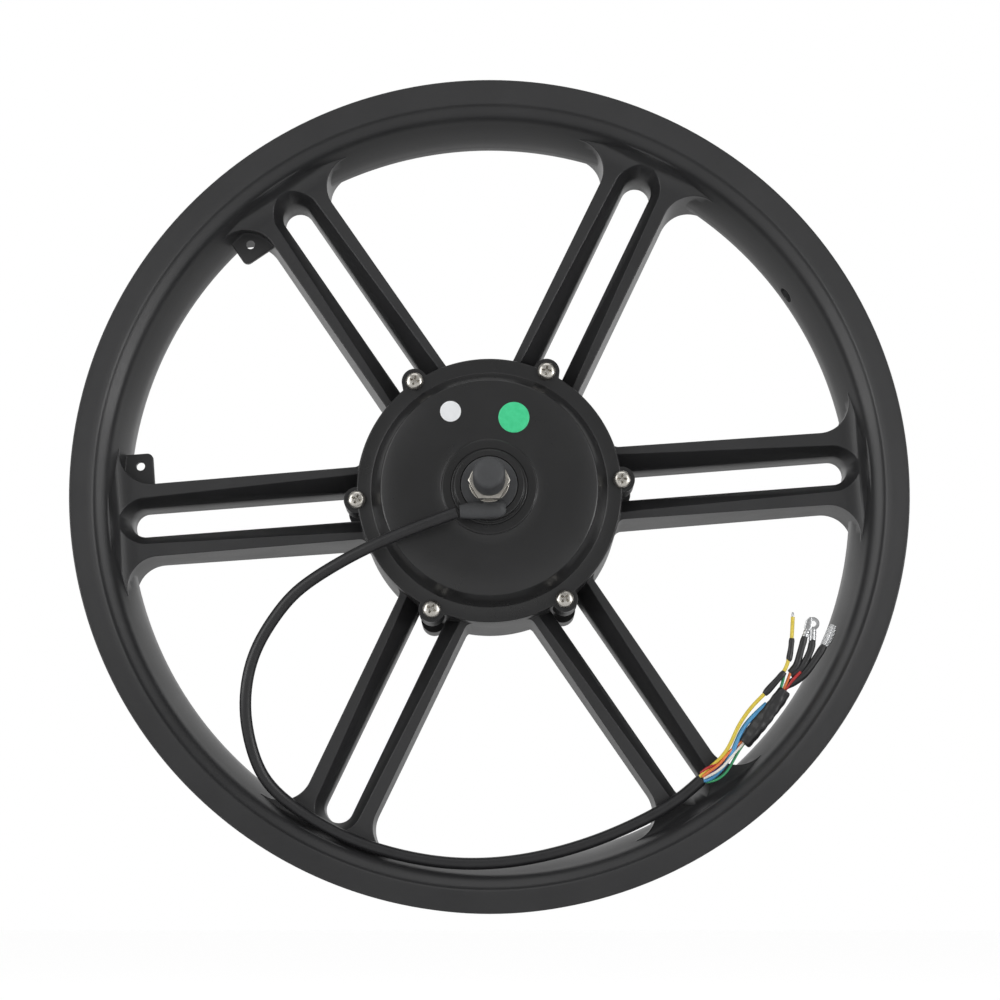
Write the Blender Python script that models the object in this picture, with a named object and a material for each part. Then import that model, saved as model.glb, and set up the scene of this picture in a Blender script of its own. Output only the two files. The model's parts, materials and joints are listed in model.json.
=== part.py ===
"""Geared hub motor cast into a 20 inch fat-tyre wheel, rear, freewheel side facing -Y.

Metres, +Z up, the wheel standing upright.  The origin is the wheel's centre: the middle of the rim's
width on the axle.  The axle runs along Y, and angles round it start at +X and turn towards +Z.
"""
import math

import bmesh
import bpy
from mathutils import Matrix, Vector

MM = 0.001

# ---- clearance --------------------------------------------------------------------------------
GAP = 0.3 * MM                      # between two pieces that touch

# ---- rim --------------------------------------------------------------------------------------
RIM_RADIUS = 210 * MM               # outer edge of the tyre flange
RIM_HALF_WIDTH = 40 * MM            # centre plane to a flange's side face
FLANGE_THICKNESS = 4.5 * MM
SIDE_FACE_HEIGHT = 12 * MM          # side face of the flange, which leans in towards the hub
SIDE_FACE_DISH = 4 * MM
BEAD_SEAT_RADIUS = 203 * MM
BEAD_SEAT_WIDTH = 10 * MM
WELL_RADIUS = 190.5 * MM            # floor of the tyre well
WELL_HALF_WIDTH = 14 * MM
BARREL_RADIUS = 184 * MM            # hub-facing surface at the centre plane
VALVE_ANGLE = math.radians(34.6)
VALVE_RADIUS = 4.2 * MM
VALVE_OFFSET = 8 * MM               # from the centre plane, towards the freewheel side

# ---- spokes -----------------------------------------------------------------------------------
SPOKE_COUNT = 6
SPOKE_START = math.radians(4.4)
SPOKE_HALF_WIDTH = 18.4 * MM
SPOKE_INNER_END = 62.5 * MM         # inside the shell's wall
SPOKE_OUTER_END = 189.7 * MM        # inside the rim's wall
SPOKE_HALF_DEPTH_HUB = 28 * MM      # centre plane to a spoke's face, at the hub shell
SPOKE_HALF_DEPTH_RIM = 21 * MM      # the same, at the rim
SLOT_HALF_WIDTH = 7.4 * MM
SLOT_END = 182 * MM                 # outer end of a slot, from the axle
SLOT_LAND = 13 * MM                 # half depth of the slot's straight part
SLOT_OPENING = 0.5                  # widening of the slot for each unit towards a face
RIM_FILLET = 16 * MM
HUB_FILLET = 4 * MM

# ---- reflector tabs, beside the third and fourth spokes ----------------------------------------
TAB_FRONT = 13 * MM                 # ahead of the centre plane
TAB_THICKNESS = 4 * MM
TAB_INNER_END = 169 * MM            # along the spoke, from the axle
TAB_SIDE = 35.5 * MM                # sideways from the spoke's middle
TAB_HOLE_RADIUS = 2.25 * MM
TABS = ((2, 1, 176.7 * MM, 27.6 * MM), (3, -1, 175.6 * MM, 29.2 * MM))   # spoke, side, hole

# ---- hub shell and covers ---------------------------------------------------------------------
SHELL_RADIUS = 66.4 * MM
SHELL_BORE = 59 * MM
SHELL_HALF_WIDTH = 35 * MM
COVER_FACE = 40 * MM                # a cover's flange face, from the centre plane
COVER_WALL = 3.8 * MM
SPIGOT_LENGTH = 3 * MM
EAR_RADIUS = 6.5 * MM
EAR_LENGTH = 17 * MM
SCREW_RADIUS = 2 * MM
SCREW_LENGTH = 14 * MM              # under the head
SCREW_HEAD_RADIUS = 4.5 * MM
SCREW_HEAD_HEIGHT = 3.2 * MM
SCREW_HOLE_DEPTH = 12 * MM          # into the shell
CONE_RADIUS = 59.1 * MM             # foot of the sloping step round the freewheel side cover
FACE_RADIUS = 54.2 * MM
DRIVE_FACE = 51 * MM                # raised middle of the cover, from the centre plane
SHOULDER_RADIUS = 23.8 * MM
SHOULDER_HEIGHT = 1.5 * MM
THREAD_RADIUS = 17.46 * MM          # 1.375 inch freewheel thread
THREAD_LENGTH = 8.2 * MM
BRAKE_FACE = 46 * MM
BRAKE_FACE_RADIUS = 50 * MM
DISC_FACE = 52.2 * MM               # brake disc's seat
DISC_BOSS_RADIUS = 29 * MM
DISC_BOLT_CIRCLE = 22 * MM          # six bolts on 44 mm
DISC_HOLE_RADIUS = 2.1 * MM
DISC_HOLE_DEPTH = 9.5 * MM

# ---- axle and what is on its ends -------------------------------------------------------------
DROPOUT_HALF_WIDTH = 67.5 * MM      # frame opening of 135 mm
AXLE_DRIVE_END = 102 * MM
AXLE_BRAKE_END = 105 * MM
THREAD_AXLE_RADIUS = 6 * MM         # M12
AXLE_FLAT = 5 * MM                  # flats 10 mm apart on the threaded ends
JOURNAL_RADIUS = 7.5 * MM
STATOR_SEAT = 8.5 * MM
CABLE_BORE = 3.2 * MM
CABLE_BORE_END = 30 * MM            # ahead of the centre plane
WINDOW_HALF_WIDTH = 3.2 * MM
WINDOW_HALF_LENGTH = 2.9 * MM
WASHER_RADIUS = 10 * MM
WASHER_THICKNESS = 2 * MM
NUT_ACROSS_FLATS = 18 * MM
NUT_THICKNESS = 7 * MM
SLEEVE_RADIUS = 8 * MM
SLEEVE_CLOSED_END = 2.7 * MM
SPACER_RADIUS = 9.5 * MM

# ---- bearings: outer radius, width ------------------------------------------------------------
DRIVE_BEARING = (14 * MM, 7 * MM)
BRAKE_BEARING = (16 * MM, 9 * MM)
BEARING_LIP = 1.8 * MM              # how far the abutment stands in over an outer race
SEAL_THICKNESS = 0.9 * MM
ROTOR_BEARING_RADIUS = 10.7 * MM
RACE_WALL = 1.4 * MM

# ---- motor: Y is measured from the centre plane, + towards the brake side ----------------------
STATOR_RADIUS = 44.5 * MM
STATOR_BORE = 22 * MM
STATOR_FRONT = -27 * MM
STATOR_BACK = -3 * MM
STATOR_TEETH = 18
STATOR_YOKE = 6 * MM
WINDING_OVERHANG = 6.2 * MM
BOARD_THICKNESS = 1.6 * MM
AIR_GAP = 0.8 * MM
MAGNET_THICKNESS = 2.7 * MM
BELL_WALL = 3.2 * MM
BELL_FRONT = -29 * MM
BELL_PLATE_FRONT = 6 * MM
BELL_PLATE = 3.5 * MM

# ---- gears ------------------------------------------------------------------------------------
MODULE = 1.5 * MM
SUN_TEETH = 15
PLANET_TEETH = 27
RING_TEETH = SUN_TEETH + 2 * PLANET_TEETH
PLANET_COUNT = 3
FIRST_PLANET = math.radians(90)
PRESSURE_ANGLE = math.radians(20)
ADDENDUM = 0.8 * MODULE
DEDENDUM = 1.0 * MODULE
BACKLASH = 0.2 * MM                 # along the pitch circle, taken off every tooth
PLANET_FRONT = 12 * MM
PLANET_WIDTH = 11.5 * MM
RING_OVERLAP = 1 * MM               # ring gear wider than the planets, at each face
SUN_FLANGE_RADIUS = 14 * MM
SUN_FLANGE_THICKNESS = 1.7 * MM
PIN_RADIUS = 4 * MM
CARRIER_FRONT = 25.5 * MM
CARRIER_RADIUS = 40 * MM
CARRIER_THICKNESS = 7 * MM
CLUTCH_RADIUS = 12 * MM

# ---- stickers on the freewheel side cover: centre x, centre z, radius --------------------------
STICKER_THICKNESS = 0.25 * MM
WHITE_STICKER = (-19.3 * MM, 37.9 * MM, 5.2 * MM)
GREEN_STICKER = (12.2 * MM, 34.9 * MM, 7.7 * MM)

# ---- cable: hand-laid routes of the centre lines (x, y, z in millimetres) ----------------------
CABLE_RADIUS = 3 * MM
BOOT_HALF_DEPTH = 3.0 * MM
BOOT_HALF_HEIGHT = 4.4 * MM
BOOT_START = Vector((8.0, -64.1, -12.2)) * MM
BOOT_END = Vector((-14.7, -64.1, -14.0)) * MM
CABLE_POINTS = (
    (-15.9, -64.1, -14.3), (-44.2, -62.0, -24.7), (-68.9, -59.0, -35.8), (-93.7, -55.0, -50.8),
    (-100.2, -54.0, -57.2), (-113.6, -51.0, -76.7), (-117.6, -49.0, -86.5), (-119.9, -47.0, -96.3),
    (-120.9, -45.0, -106.0), (-120.5, -42.0, -115.7), (-118.0, -38.0, -127.9), (-111.7, -33.0, -144.6),
    (-94.2, -29.0, -159.5), (-70.0, -27.0, -173.0), (-45.2, -26.6, -181.0), (-19.5, -26.6, -185.2),
    (6.5, -26.6, -184.9), (31.9, -26.6, -180.4), (56.2, -26.4, -172.8), (77.4, -26.2, -163.4),
    (90.2, -26.0, -156.4), (98.6, -26.0, -150.4), (105.5, -26.0, -143.8),
)
YELLOW_WIRE_RADIUS = 1.3 * MM
YELLOW_WIRE_POINTS = (
    (104.8, -27.8, -142.3), (108.5, -29.4, -138.8), (112.8, -30.3, -135.4), (116.7, -30.5, -131.4),
    (120.3, -30.5, -125.4), (123.2, -30.5, -118.6), (126.9, -30.5, -112.6), (131.6, -30.5, -106.6),
    (137.3, -30.5, -101.1), (143.6, -31.0, -94.2), (147.6, -31.0, -89.4), (149.7, -30.8, -82.2),
    (150.9, -30.5, -74.3), (151.6, -30.5, -62.8),
)
BUNDLE_RADIUS = 2.2 * MM
BUNDLE_POINTS = (
    (107.0, -25.2, -144.4), (112.6, -26.6, -140.4), (117.6, -27.4, -135.6), (121.9, -27.8, -130.2),
    (126.9, -28.0, -125.3),
)
SHRINK_RADIUS = 4.0 * MM
SHRINK_POINTS = ((127.6, -28.0, -124.5), (137.4, -28.0, -112.8), (147.2, -28.0, -99.2))
LEADS_RADIUS = 4.0 * MM
LEADS_POINTS = ((147.6, -28.1, -98.7), (155.0, -28.5, -88.0), (161.5, -28.7, -76.5), (166.3, -28.8, -67.6))

# ---- facets of the round pieces ---------------------------------------------------------------
RIM_STEPS = 72
COVER_STEPS = 48
SMALL_STEPS = 28
TINY_STEPS = 12

AXIS = Vector((0, 1, 0))


# ---- building blocks --------------------------------------------------------------------------
def polar(radius, angle):
    """Point of the wheel's plane as (x, z)."""
    return (radius * math.cos(angle), radius * math.sin(angle))


def turned_by(points, angle):
    """Points (x, z) of the wheel's plane, turned about the axle."""
    c, s = math.cos(angle), math.sin(angle)
    return [(x * c - z * s, x * s + z * c) for x, z in points]


def arc(centre, radius, start, end, steps):
    """Points (x, z) along an arc, both ends included."""
    out = []
    for i in range(steps + 1):
        a = start + (end - start) * i / steps
        out.append((centre[0] + radius * math.cos(a), centre[1] + radius * math.sin(a)))
    return out


def circle(centre, radius, steps):
    return arc(centre, radius, 0, 2 * math.pi * (steps - 1) / steps, steps - 1)


def finished(name, bm, sharp=32):
    """Close a bmesh into a named object, faces out, round parts shaded smooth."""
    bmesh.ops.recalc_face_normals(bm, faces=bm.faces)
    mesh = bpy.data.meshes.new(name)
    bm.to_mesh(mesh)
    bm.free()
    mesh.shade_smooth()
    mesh.set_sharp_from_angle(angle=math.radians(sharp))
    obj = bpy.data.objects.new(name, mesh)
    bpy.context.scene.collection.objects.link(obj)
    return obj


def ring(name, profile, steps):
    """Turn a closed outline of (radius, y) points about the axle's line."""
    bm = bmesh.new()
    verts = [bm.verts.new((r, y, 0)) for r, y in profile]
    edges = [bm.edges.new((verts[i - 1], verts[i])) for i in range(len(verts))]
    bmesh.ops.spin(bm, geom=verts + edges, cent=(0, 0, 0), axis=AXIS, angle=2 * math.pi,
                   steps=steps, use_merge=True)
    bmesh.ops.remove_doubles(bm, verts=bm.verts, dist=1e-7)
    return finished(name, bm)


def tube(name, inner, outer, front, back, steps):
    return ring(name, [(inner, front), (outer, front), (outer, back), (inner, back)], steps)


def solid_of_turning(name, profile, steps):
    """Turn an open outline that starts and ends on the axis."""
    bm = bmesh.new()
    verts = [bm.verts.new((r, y, 0)) for r, y in profile]
    edges = [bm.edges.new((verts[i], verts[i + 1])) for i in range(len(verts) - 1)]
    bmesh.ops.spin(bm, geom=verts + edges, cent=(0, 0, 0), axis=AXIS, angle=2 * math.pi,
                   steps=steps, use_merge=True)
    bmesh.ops.remove_doubles(bm, verts=bm.verts, dist=1e-7)
    return finished(name, bm)


def prism(name, outline, front, back):
    """Extrude an outline of (x, z) points along Y."""
    bm = bmesh.new()
    face = bm.faces.new([bm.verts.new((x, front, z)) for x, z in outline])
    extruded = bmesh.ops.extrude_face_region(bm, geom=[face])
    verts = [v for v in extruded["geom"] if isinstance(v, bmesh.types.BMVert)]
    bmesh.ops.translate(bm, verts=verts, vec=(0, back - front, 0))
    return finished(name, bm)


def stack(name, layers):
    """Join layers of equal outlines, each a list of (x, y, z), into one closed solid."""
    bm = bmesh.new()
    loops = [[bm.verts.new(p) for p in layer] for layer in layers]
    count = len(loops[0])
    for low, high in zip(loops, loops[1:]):
        for i in range(count):
            j = (i + 1) % count
            bm.faces.new((low[i], low[j], high[j], high[i]))
    bm.faces.new(loops[0])
    bm.faces.new(loops[-1])
    return finished(name, bm)


def combine(target, tool, operation):
    """Apply one exact boolean to target and remove the tool."""
    modifier = target.modifiers.new("combine", "BOOLEAN")
    modifier.operation = operation
    modifier.solver = "EXACT"
    modifier.object = tool
    depsgraph = bpy.context.evaluated_depsgraph_get()
    mesh = bpy.data.meshes.new_from_object(target.evaluated_get(depsgraph))
    mesh.shade_smooth()
    mesh.set_sharp_from_angle(angle=math.radians(32))
    target.modifiers.remove(modifier)
    old = target.data
    target.data = mesh
    bpy.data.meshes.remove(old)
    bpy.data.objects.remove(tool)
    return target


def join(target, tool):
    return combine(target, tool, "UNION")


def cut(target, tool):
    return combine(target, tool, "DIFFERENCE")


def keep_inside(target, tool):
    return combine(target, tool, "INTERSECT")


def smooth_route(points, spacing):
    """Evenly spaced points on a Catmull-Rom curve through the route's own points, in metres."""
    p = [Vector(q) * MM for q in points]
    p = [2 * p[0] - p[1]] + p + [2 * p[-1] - p[-2]]
    dense = []
    for a, b, c, d in zip(p, p[1:], p[2:], p[3:]):
        for i in range(12):
            t = i / 12
            dense.append(0.5 * (2 * b + (c - a) * t + (2 * a - 5 * b + 4 * c - d) * t * t
                                + (3 * b - a - 3 * c + d) * t ** 3))
    dense.append(p[-2])
    lengths = [(v - u).length for u, v in zip(dense, dense[1:])]
    total = sum(lengths)
    count = max(2, round(total / spacing))
    out, walked, index = [dense[0]], 0.0, 0
    for k in range(1, count):
        target = total * k / count
        while walked + lengths[index] < target:
            walked += lengths[index]
            index += 1
        share = (target - walked) / lengths[index]
        out.append(dense[index].lerp(dense[index + 1], share))
    out.append(dense[-1])
    return out


def cord(name, points, radius, spacing, sides=2):
    """A tube along a route, as a curve with filled caps."""
    curve = bpy.data.curves.new(name, "CURVE")
    curve.dimensions = "3D"
    curve.bevel_depth = radius
    curve.bevel_resolution = sides
    curve.use_fill_caps = True
    route = smooth_route(points, spacing)
    spline = curve.splines.new("POLY")
    spline.points.add(len(route) - 1)
    for point, place in zip(spline.points, route):
        point.co = (*place, 1)
        point.radius = 1
    obj = bpy.data.objects.new(name, curve)
    bpy.context.scene.collection.objects.link(obj)
    return obj


def paint(obj, material):
    obj.data.materials.clear()
    obj.data.materials.append(material)
    return obj


def material(name, colour, roughness, metallic=0.0):
    """A Principled material from a linear colour."""
    m = bpy.data.materials.new(name)
    m.use_nodes = True
    shader = m.node_tree.nodes["Principled BSDF"]
    shader.inputs["Base Color"].default_value = (*colour, 1)
    shader.inputs["Roughness"].default_value = roughness
    shader.inputs["Metallic"].default_value = metallic
    return m


# ---- the casting: rim, spokes and hub shell in one --------------------------------------------
def rim_profile():
    """Closed outline of the rim's section as (radius, y), one half mirrored onto the other."""
    inside = RIM_HALF_WIDTH - FLANGE_THICKNESS
    foot = RIM_RADIUS - SIDE_FACE_HEIGHT
    foot_y = RIM_HALF_WIDTH - SIDE_FACE_DISH
    edge = 0.7 * MM
    tyre_side = [(WELL_RADIUS, WELL_HALF_WIDTH), (WELL_RADIUS + 3.5 * MM, WELL_HALF_WIDTH + 7 * MM),
                 (BEAD_SEAT_RADIUS, inside - BEAD_SEAT_WIDTH), (BEAD_SEAT_RADIUS, inside - 1 * MM),
                 (RIM_RADIUS, inside)]
    hub_side = [(RIM_RADIUS, RIM_HALF_WIDTH - edge), (RIM_RADIUS - edge, RIM_HALF_WIDTH), (foot, foot_y),
                (BARREL_RADIUS + 8.6 * MM, foot_y - 5 * MM), (BARREL_RADIUS + 5.8 * MM, foot_y - 11 * MM),
                (BARREL_RADIUS + 2.6 * MM, foot_y - 20 * MM), (BARREL_RADIUS + 0.6 * MM, foot_y - 28 * MM)]
    half = tyre_side + hub_side
    return half + [(BARREL_RADIUS, 0)] + [(r, -y) for r, y in reversed(half)]


def half_depth(u):
    """From the centre plane to a spoke's face, at distance u from the axle."""
    share = (u - SHELL_BORE) / (SPOKE_OUTER_END - SHELL_BORE)
    return SPOKE_HALF_DEPTH_HUB + (SPOKE_HALF_DEPTH_RIM - SPOKE_HALF_DEPTH_HUB) * share


def spoke_outline():
    """Plan of one spoke along +X, flared into the rim and the shell, as (x, z)."""
    barrel = BARREL_RADIUS + 0.4 * MM
    root = SPOKE_HALF_WIDTH + RIM_FILLET
    centre = (math.sqrt((barrel - RIM_FILLET) ** 2 - root ** 2), root)
    tangent = math.atan2(centre[1], centre[0])
    flare = arc(centre, RIM_FILLET, -math.pi / 2, tangent, 7)
    hub_root = SPOKE_HALF_WIDTH + HUB_FILLET
    hub_centre = (math.sqrt((SHELL_RADIUS + HUB_FILLET) ** 2 - hub_root ** 2), hub_root)
    hub_tangent = math.atan2(hub_centre[1], hub_centre[0])
    hub_flare = arc(hub_centre, HUB_FILLET, math.pi + hub_tangent, 1.5 * math.pi, 3)
    outer = arc((0, 0), SPOKE_OUTER_END, tangent, -tangent, 8)
    inner = arc((0, 0), SPOKE_INNER_END, -hub_tangent, hub_tangent, 6)
    upper = hub_flare + flare
    return upper + outer + [(x, -z) for x, z in reversed(upper)] + inner


def spoke_section():
    """Side view of one spoke along +X as (x, y)."""
    near, far = SPOKE_INNER_END - 5 * MM, SPOKE_OUTER_END + 5 * MM
    return [(near, -half_depth(near)), (far, -half_depth(far)), (far, half_depth(far)),
            (near, half_depth(near))]


def slot_outline(grow):
    """Long slot with a round outer end, grown by a width all round, as (x, z)."""
    radius = SLOT_HALF_WIDTH + grow
    centre = (SLOT_END - SLOT_HALF_WIDTH, 0)
    inner = SHELL_BORE - 9 * MM
    return [(inner, -radius)] + arc(centre, radius, -math.pi / 2, math.pi / 2, 10) + [(inner, radius)]


def slot_cutter():
    """Straight slot that opens out towards both faces of the spoke."""
    face = SPOKE_HALF_DEPTH_HUB + 2 * MM
    grow = (face - SLOT_LAND) * SLOT_OPENING
    layers = ((-face, grow), (-SLOT_LAND, 0), (SLOT_LAND, 0), (face, grow))
    return stack("slot_cutter", [[(x, y, z) for x, z in slot_outline(g)] for y, g in layers])


def spoke(angle):
    """One spoke: its plan kept to its side view, its slot cut out, turned to its angle."""
    deep = SPOKE_HALF_DEPTH_HUB + 5 * MM
    body = prism("spoke", spoke_outline(), -deep, deep)
    wide = SPOKE_HALF_WIDTH + RIM_FILLET + 20 * MM
    keep_inside(body, stack("side_view", [[(x, y, z) for x, y in spoke_section()] for z in (-wide, wide)]))
    cut(body, slot_cutter())
    body.data.transform(Matrix.Rotation(-angle, 4, AXIS))
    return body


def reflector_tab(spoke_index, side, hole_u, hole_v):
    """Flat tab in the corner between a spoke's root and the barrel, with its hole."""
    angle = spoke_angles()[spoke_index]
    corner = 3 * MM
    near = SPOKE_HALF_WIDTH - 2 * MM
    outer = BARREL_RADIUS + 2 * MM
    rounded = arc((TAB_INNER_END + corner, TAB_SIDE - corner), corner, math.pi, math.pi / 2, 4)
    outline = [(outer, near), (TAB_INNER_END, near)] + rounded + [(outer, TAB_SIDE)]
    outline = turned_by([(u, side * v) for u, v in outline], angle)
    tab = prism("tab", outline, -TAB_FRONT, -TAB_FRONT + TAB_THICKNESS)
    hole = turned_by(circle((hole_u, side * hole_v), TAB_HOLE_RADIUS, TINY_STEPS), angle)
    return cut(tab, prism("tab_hole", hole, -TAB_FRONT - 5 * MM, -TAB_FRONT + 10 * MM))


def spoke_angles():
    return [SPOKE_START + 2 * math.pi * k / SPOKE_COUNT for k in range(SPOKE_COUNT)]


def ears(target, front, back):
    """Add the six round screw ears to a shell or a cover."""
    for angle in spoke_angles():
        join(target, prism("ear", circle(polar(SHELL_RADIUS, angle), EAR_RADIUS, 18), front, back))
    return target


def screw_holes(target, radius, front, back):
    for angle in spoke_angles():
        cut(target, prism("screw_hole", circle(polar(SHELL_RADIUS, angle), radius, 10), front, back))
    return target


def valve_cutter():
    """Cylinder across the rim's wall, along the radius at the valve's angle."""
    bm = bmesh.new()
    x, z = polar((BARREL_RADIUS + WELL_RADIUS) / 2, VALVE_ANGLE)
    aim = Vector((x, 0, z)).to_track_quat("Z", "Y").to_matrix().to_4x4()
    bmesh.ops.create_cone(bm, cap_ends=True, segments=TINY_STEPS, radius1=VALVE_RADIUS, radius2=VALVE_RADIUS,
                          depth=24 * MM, matrix=Matrix.Translation((x, -VALVE_OFFSET, z)) @ aim)
    return finished("valve_cutter", bm)


def wheel_casting():
    body = ring("wheel_casting", rim_profile(), RIM_STEPS)
    shell = tube("shell", SHELL_BORE, SHELL_RADIUS, -SHELL_HALF_WIDTH, SHELL_HALF_WIDTH, COVER_STEPS)
    ears(shell, -SHELL_HALF_WIDTH, -SHELL_HALF_WIDTH + EAR_LENGTH)
    ears(shell, SHELL_HALF_WIDTH - EAR_LENGTH, SHELL_HALF_WIDTH)
    for angle in spoke_angles():
        join(shell, spoke(angle))
    join(body, shell)
    for tab in TABS:
        join(body, reflector_tab(*tab))
    cut(body, valve_cutter())
    over = SHELL_HALF_WIDTH + 5 * MM
    floor = SHELL_HALF_WIDTH - SCREW_HOLE_DEPTH
    screw_holes(body, SCREW_RADIUS + GAP, -over, -floor)
    return screw_holes(body, SCREW_RADIUS + GAP, floor, over)


# ---- covers and their screws ------------------------------------------------------------------
def shoulder_face():
    """The freewheel's seat, ahead of the centre plane."""
    return DRIVE_FACE + SHOULDER_HEIGHT


def thread_end():
    return shoulder_face() + THREAD_LENGTH


def drive_bearing_front():
    """Outer face of the drive side bearing, ahead of the centre plane."""
    return thread_end() - SEAL_THICKNESS - GAP


def drive_side_cover():
    back = SHELL_HALF_WIDTH + GAP
    seat = DRIVE_BEARING[0] + GAP
    floor = drive_bearing_front() - DRIVE_BEARING[1] - GAP
    spigot = SHELL_BORE - GAP
    lip = seat - BEARING_LIP
    outside = [(seat, -thread_end()), (THREAD_RADIUS - 0.5 * MM, -thread_end()),
               (THREAD_RADIUS, -thread_end() + 0.5 * MM), (THREAD_RADIUS, -shoulder_face()),
               (SHOULDER_RADIUS, -shoulder_face()), (SHOULDER_RADIUS, -DRIVE_FACE),
               (FACE_RADIUS - 0.9 * MM, -DRIVE_FACE), (FACE_RADIUS, -DRIVE_FACE + 0.8 * MM),
               (CONE_RADIUS, -COVER_FACE), (SHELL_RADIUS - 0.5 * MM, -COVER_FACE),
               (SHELL_RADIUS, -COVER_FACE + 0.5 * MM), (SHELL_RADIUS, -back)]
    inside = [(spigot, -back), (spigot, -back + SPIGOT_LENGTH),
              (CONE_RADIUS - COVER_WALL, -back + SPIGOT_LENGTH),
              (FACE_RADIUS - COVER_WALL, -DRIVE_FACE + COVER_WALL), (lip, -DRIVE_FACE + COVER_WALL),
              (lip, -floor),
              (seat, -floor)]
    body = ring("drive_side_cover", outside + inside, COVER_STEPS)
    ears(body, -COVER_FACE, -back)
    return screw_holes(body, SCREW_RADIUS + 2 * GAP, -COVER_FACE - 5 * MM, -back + 5 * MM)


def brake_bearing_floor():
    """Outer end of the brake side bearing's seat, behind the centre plane."""
    return DISC_FACE - 2 * GAP - SEAL_THICKNESS


def brake_side_cover():
    back = SHELL_HALF_WIDTH + GAP
    floor = brake_bearing_floor()
    seat = BRAKE_BEARING[0] + GAP
    mouth = floor - GAP - BRAKE_BEARING[1]
    spigot = SHELL_BORE - GAP
    inner_face = DISC_FACE - DISC_HOLE_DEPTH - COVER_WALL
    lip = seat - BEARING_LIP
    outside = [(lip, DISC_FACE), (DISC_BOSS_RADIUS - 0.6 * MM, DISC_FACE),
               (DISC_BOSS_RADIUS, DISC_FACE - 0.6 * MM),
               (DISC_BOSS_RADIUS + 1.5 * MM, BRAKE_FACE), (BRAKE_FACE_RADIUS, BRAKE_FACE),
               (CONE_RADIUS - 2 * MM, COVER_FACE), (SHELL_RADIUS - 0.5 * MM, COVER_FACE),
               (SHELL_RADIUS, COVER_FACE - 0.5 * MM), (SHELL_RADIUS, back)]
    inside = [(spigot, back), (spigot, back - SPIGOT_LENGTH),
              (CONE_RADIUS - COVER_WALL, back - SPIGOT_LENGTH),
              (BRAKE_FACE_RADIUS - COVER_WALL, BRAKE_FACE - COVER_WALL),
              (DISC_BOSS_RADIUS + 3 * MM, BRAKE_FACE - COVER_WALL), (DISC_BOSS_RADIUS, inner_face),
              (seat, inner_face), (seat, floor), (lip, floor)]
    body = ring("brake_side_cover", outside + inside, COVER_STEPS)
    ears(body, back, COVER_FACE)
    screw_holes(body, SCREW_RADIUS + 2 * GAP, back - 5 * MM, COVER_FACE + 5 * MM)
    for angle in spoke_angles():
        outline = circle(polar(DISC_BOLT_CIRCLE, angle), DISC_HOLE_RADIUS, 10)
        cut(body, prism("disc_hole", outline, DISC_FACE - DISC_HOLE_DEPTH, DISC_FACE + 5 * MM))
    return body


def cover_screw(name, angle, outward):
    """Pan head screw, head outside a cover; outward is -1 or 1 along Y."""
    seat = outward * (COVER_FACE + GAP)
    top = seat + outward * SCREW_HEAD_HEIGHT
    end = seat - outward * SCREW_LENGTH
    profile = [(0, top), (SCREW_HEAD_RADIUS * 0.7, top - outward * 0.4 * MM),
               (SCREW_HEAD_RADIUS, top - outward * 1.5 * MM), (SCREW_HEAD_RADIUS, seat), (SCREW_RADIUS, seat),
               (SCREW_RADIUS, end), (0, end)]
    screw = solid_of_turning(name, profile, 10)
    x, z = polar(SHELL_RADIUS, angle)
    screw.data.transform(Matrix.Translation((x, 0, z)))
    return screw


def cover_screws(finish):
    for k, angle in enumerate(spoke_angles()):
        paint(cover_screw(f"drive_cover_screw_{k + 1}", angle, -1), finish)
        paint(cover_screw(f"brake_cover_screw_{k + 1}", angle, 1), finish)


def sticker(name, place):
    """Thin disc lying on the raised middle of the freewheel side cover."""
    x, z, radius = place
    back = -DRIVE_FACE - GAP
    return prism(name, circle((x, z), radius, 20), back - STICKER_THICKNESS, back)


# ---- axle and what it carries -----------------------------------------------------------------
def journal_end():
    """Shoulder that the drive side bearing's inner race rests on, ahead of the centre plane."""
    return drive_bearing_front() - DRIVE_BEARING[1] - GAP


def window_box(name, grow, top):
    """Block below the axle's middle that fills the cable's window."""
    half = WINDOW_HALF_WIDTH + grow
    reach = WINDOW_HALF_LENGTH + grow
    low = BOOT_START.z
    outline = [(-half, low), (half, low), (half, top), (-half, top)]
    return prism(name, outline, BOOT_START.y - reach, BOOT_START.y + reach)


def axle():
    """Stepped axle with flats on both threaded ends and the cable's window near the drive side."""
    r, edge = THREAD_AXLE_RADIUS, 0.8 * MM
    seat_end = STATOR_BACK + 2 * MM
    profile = [(0, -AXLE_DRIVE_END), (r - edge, -AXLE_DRIVE_END), (r, -AXLE_DRIVE_END + edge),
               (r, -DROPOUT_HALF_WIDTH), (JOURNAL_RADIUS, -DROPOUT_HALF_WIDTH),
               (JOURNAL_RADIUS, -journal_end()),
               (STATOR_SEAT, -journal_end()), (STATOR_SEAT, seat_end), (JOURNAL_RADIUS, seat_end),
               (JOURNAL_RADIUS, DROPOUT_HALF_WIDTH), (r, DROPOUT_HALF_WIDTH), (r, AXLE_BRAKE_END - edge),
               (r - edge, AXLE_BRAKE_END), (0, AXLE_BRAKE_END)]
    body = solid_of_turning("axle", profile, SMALL_STEPS)
    far = 3 * THREAD_AXLE_RADIUS
    beyond = AXLE_BRAKE_END + 5 * MM
    for y0, y1 in ((-beyond, -DROPOUT_HALF_WIDTH), (DROPOUT_HALF_WIDTH, beyond)):
        for x0, x1 in ((-far, -AXLE_FLAT), (AXLE_FLAT, far)):
            cut(body, prism("flat", [(x0, -far), (x1, -far), (x1, far), (x0, far)], y0, y1))
    bore = circle((0, 0), CABLE_BORE, TINY_STEPS)
    cut(body, prism("cable_bore", bore, -beyond, -CABLE_BORE_END))
    return cut(body, window_box("window", 0, -0.5 * CABLE_BORE))


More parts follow.
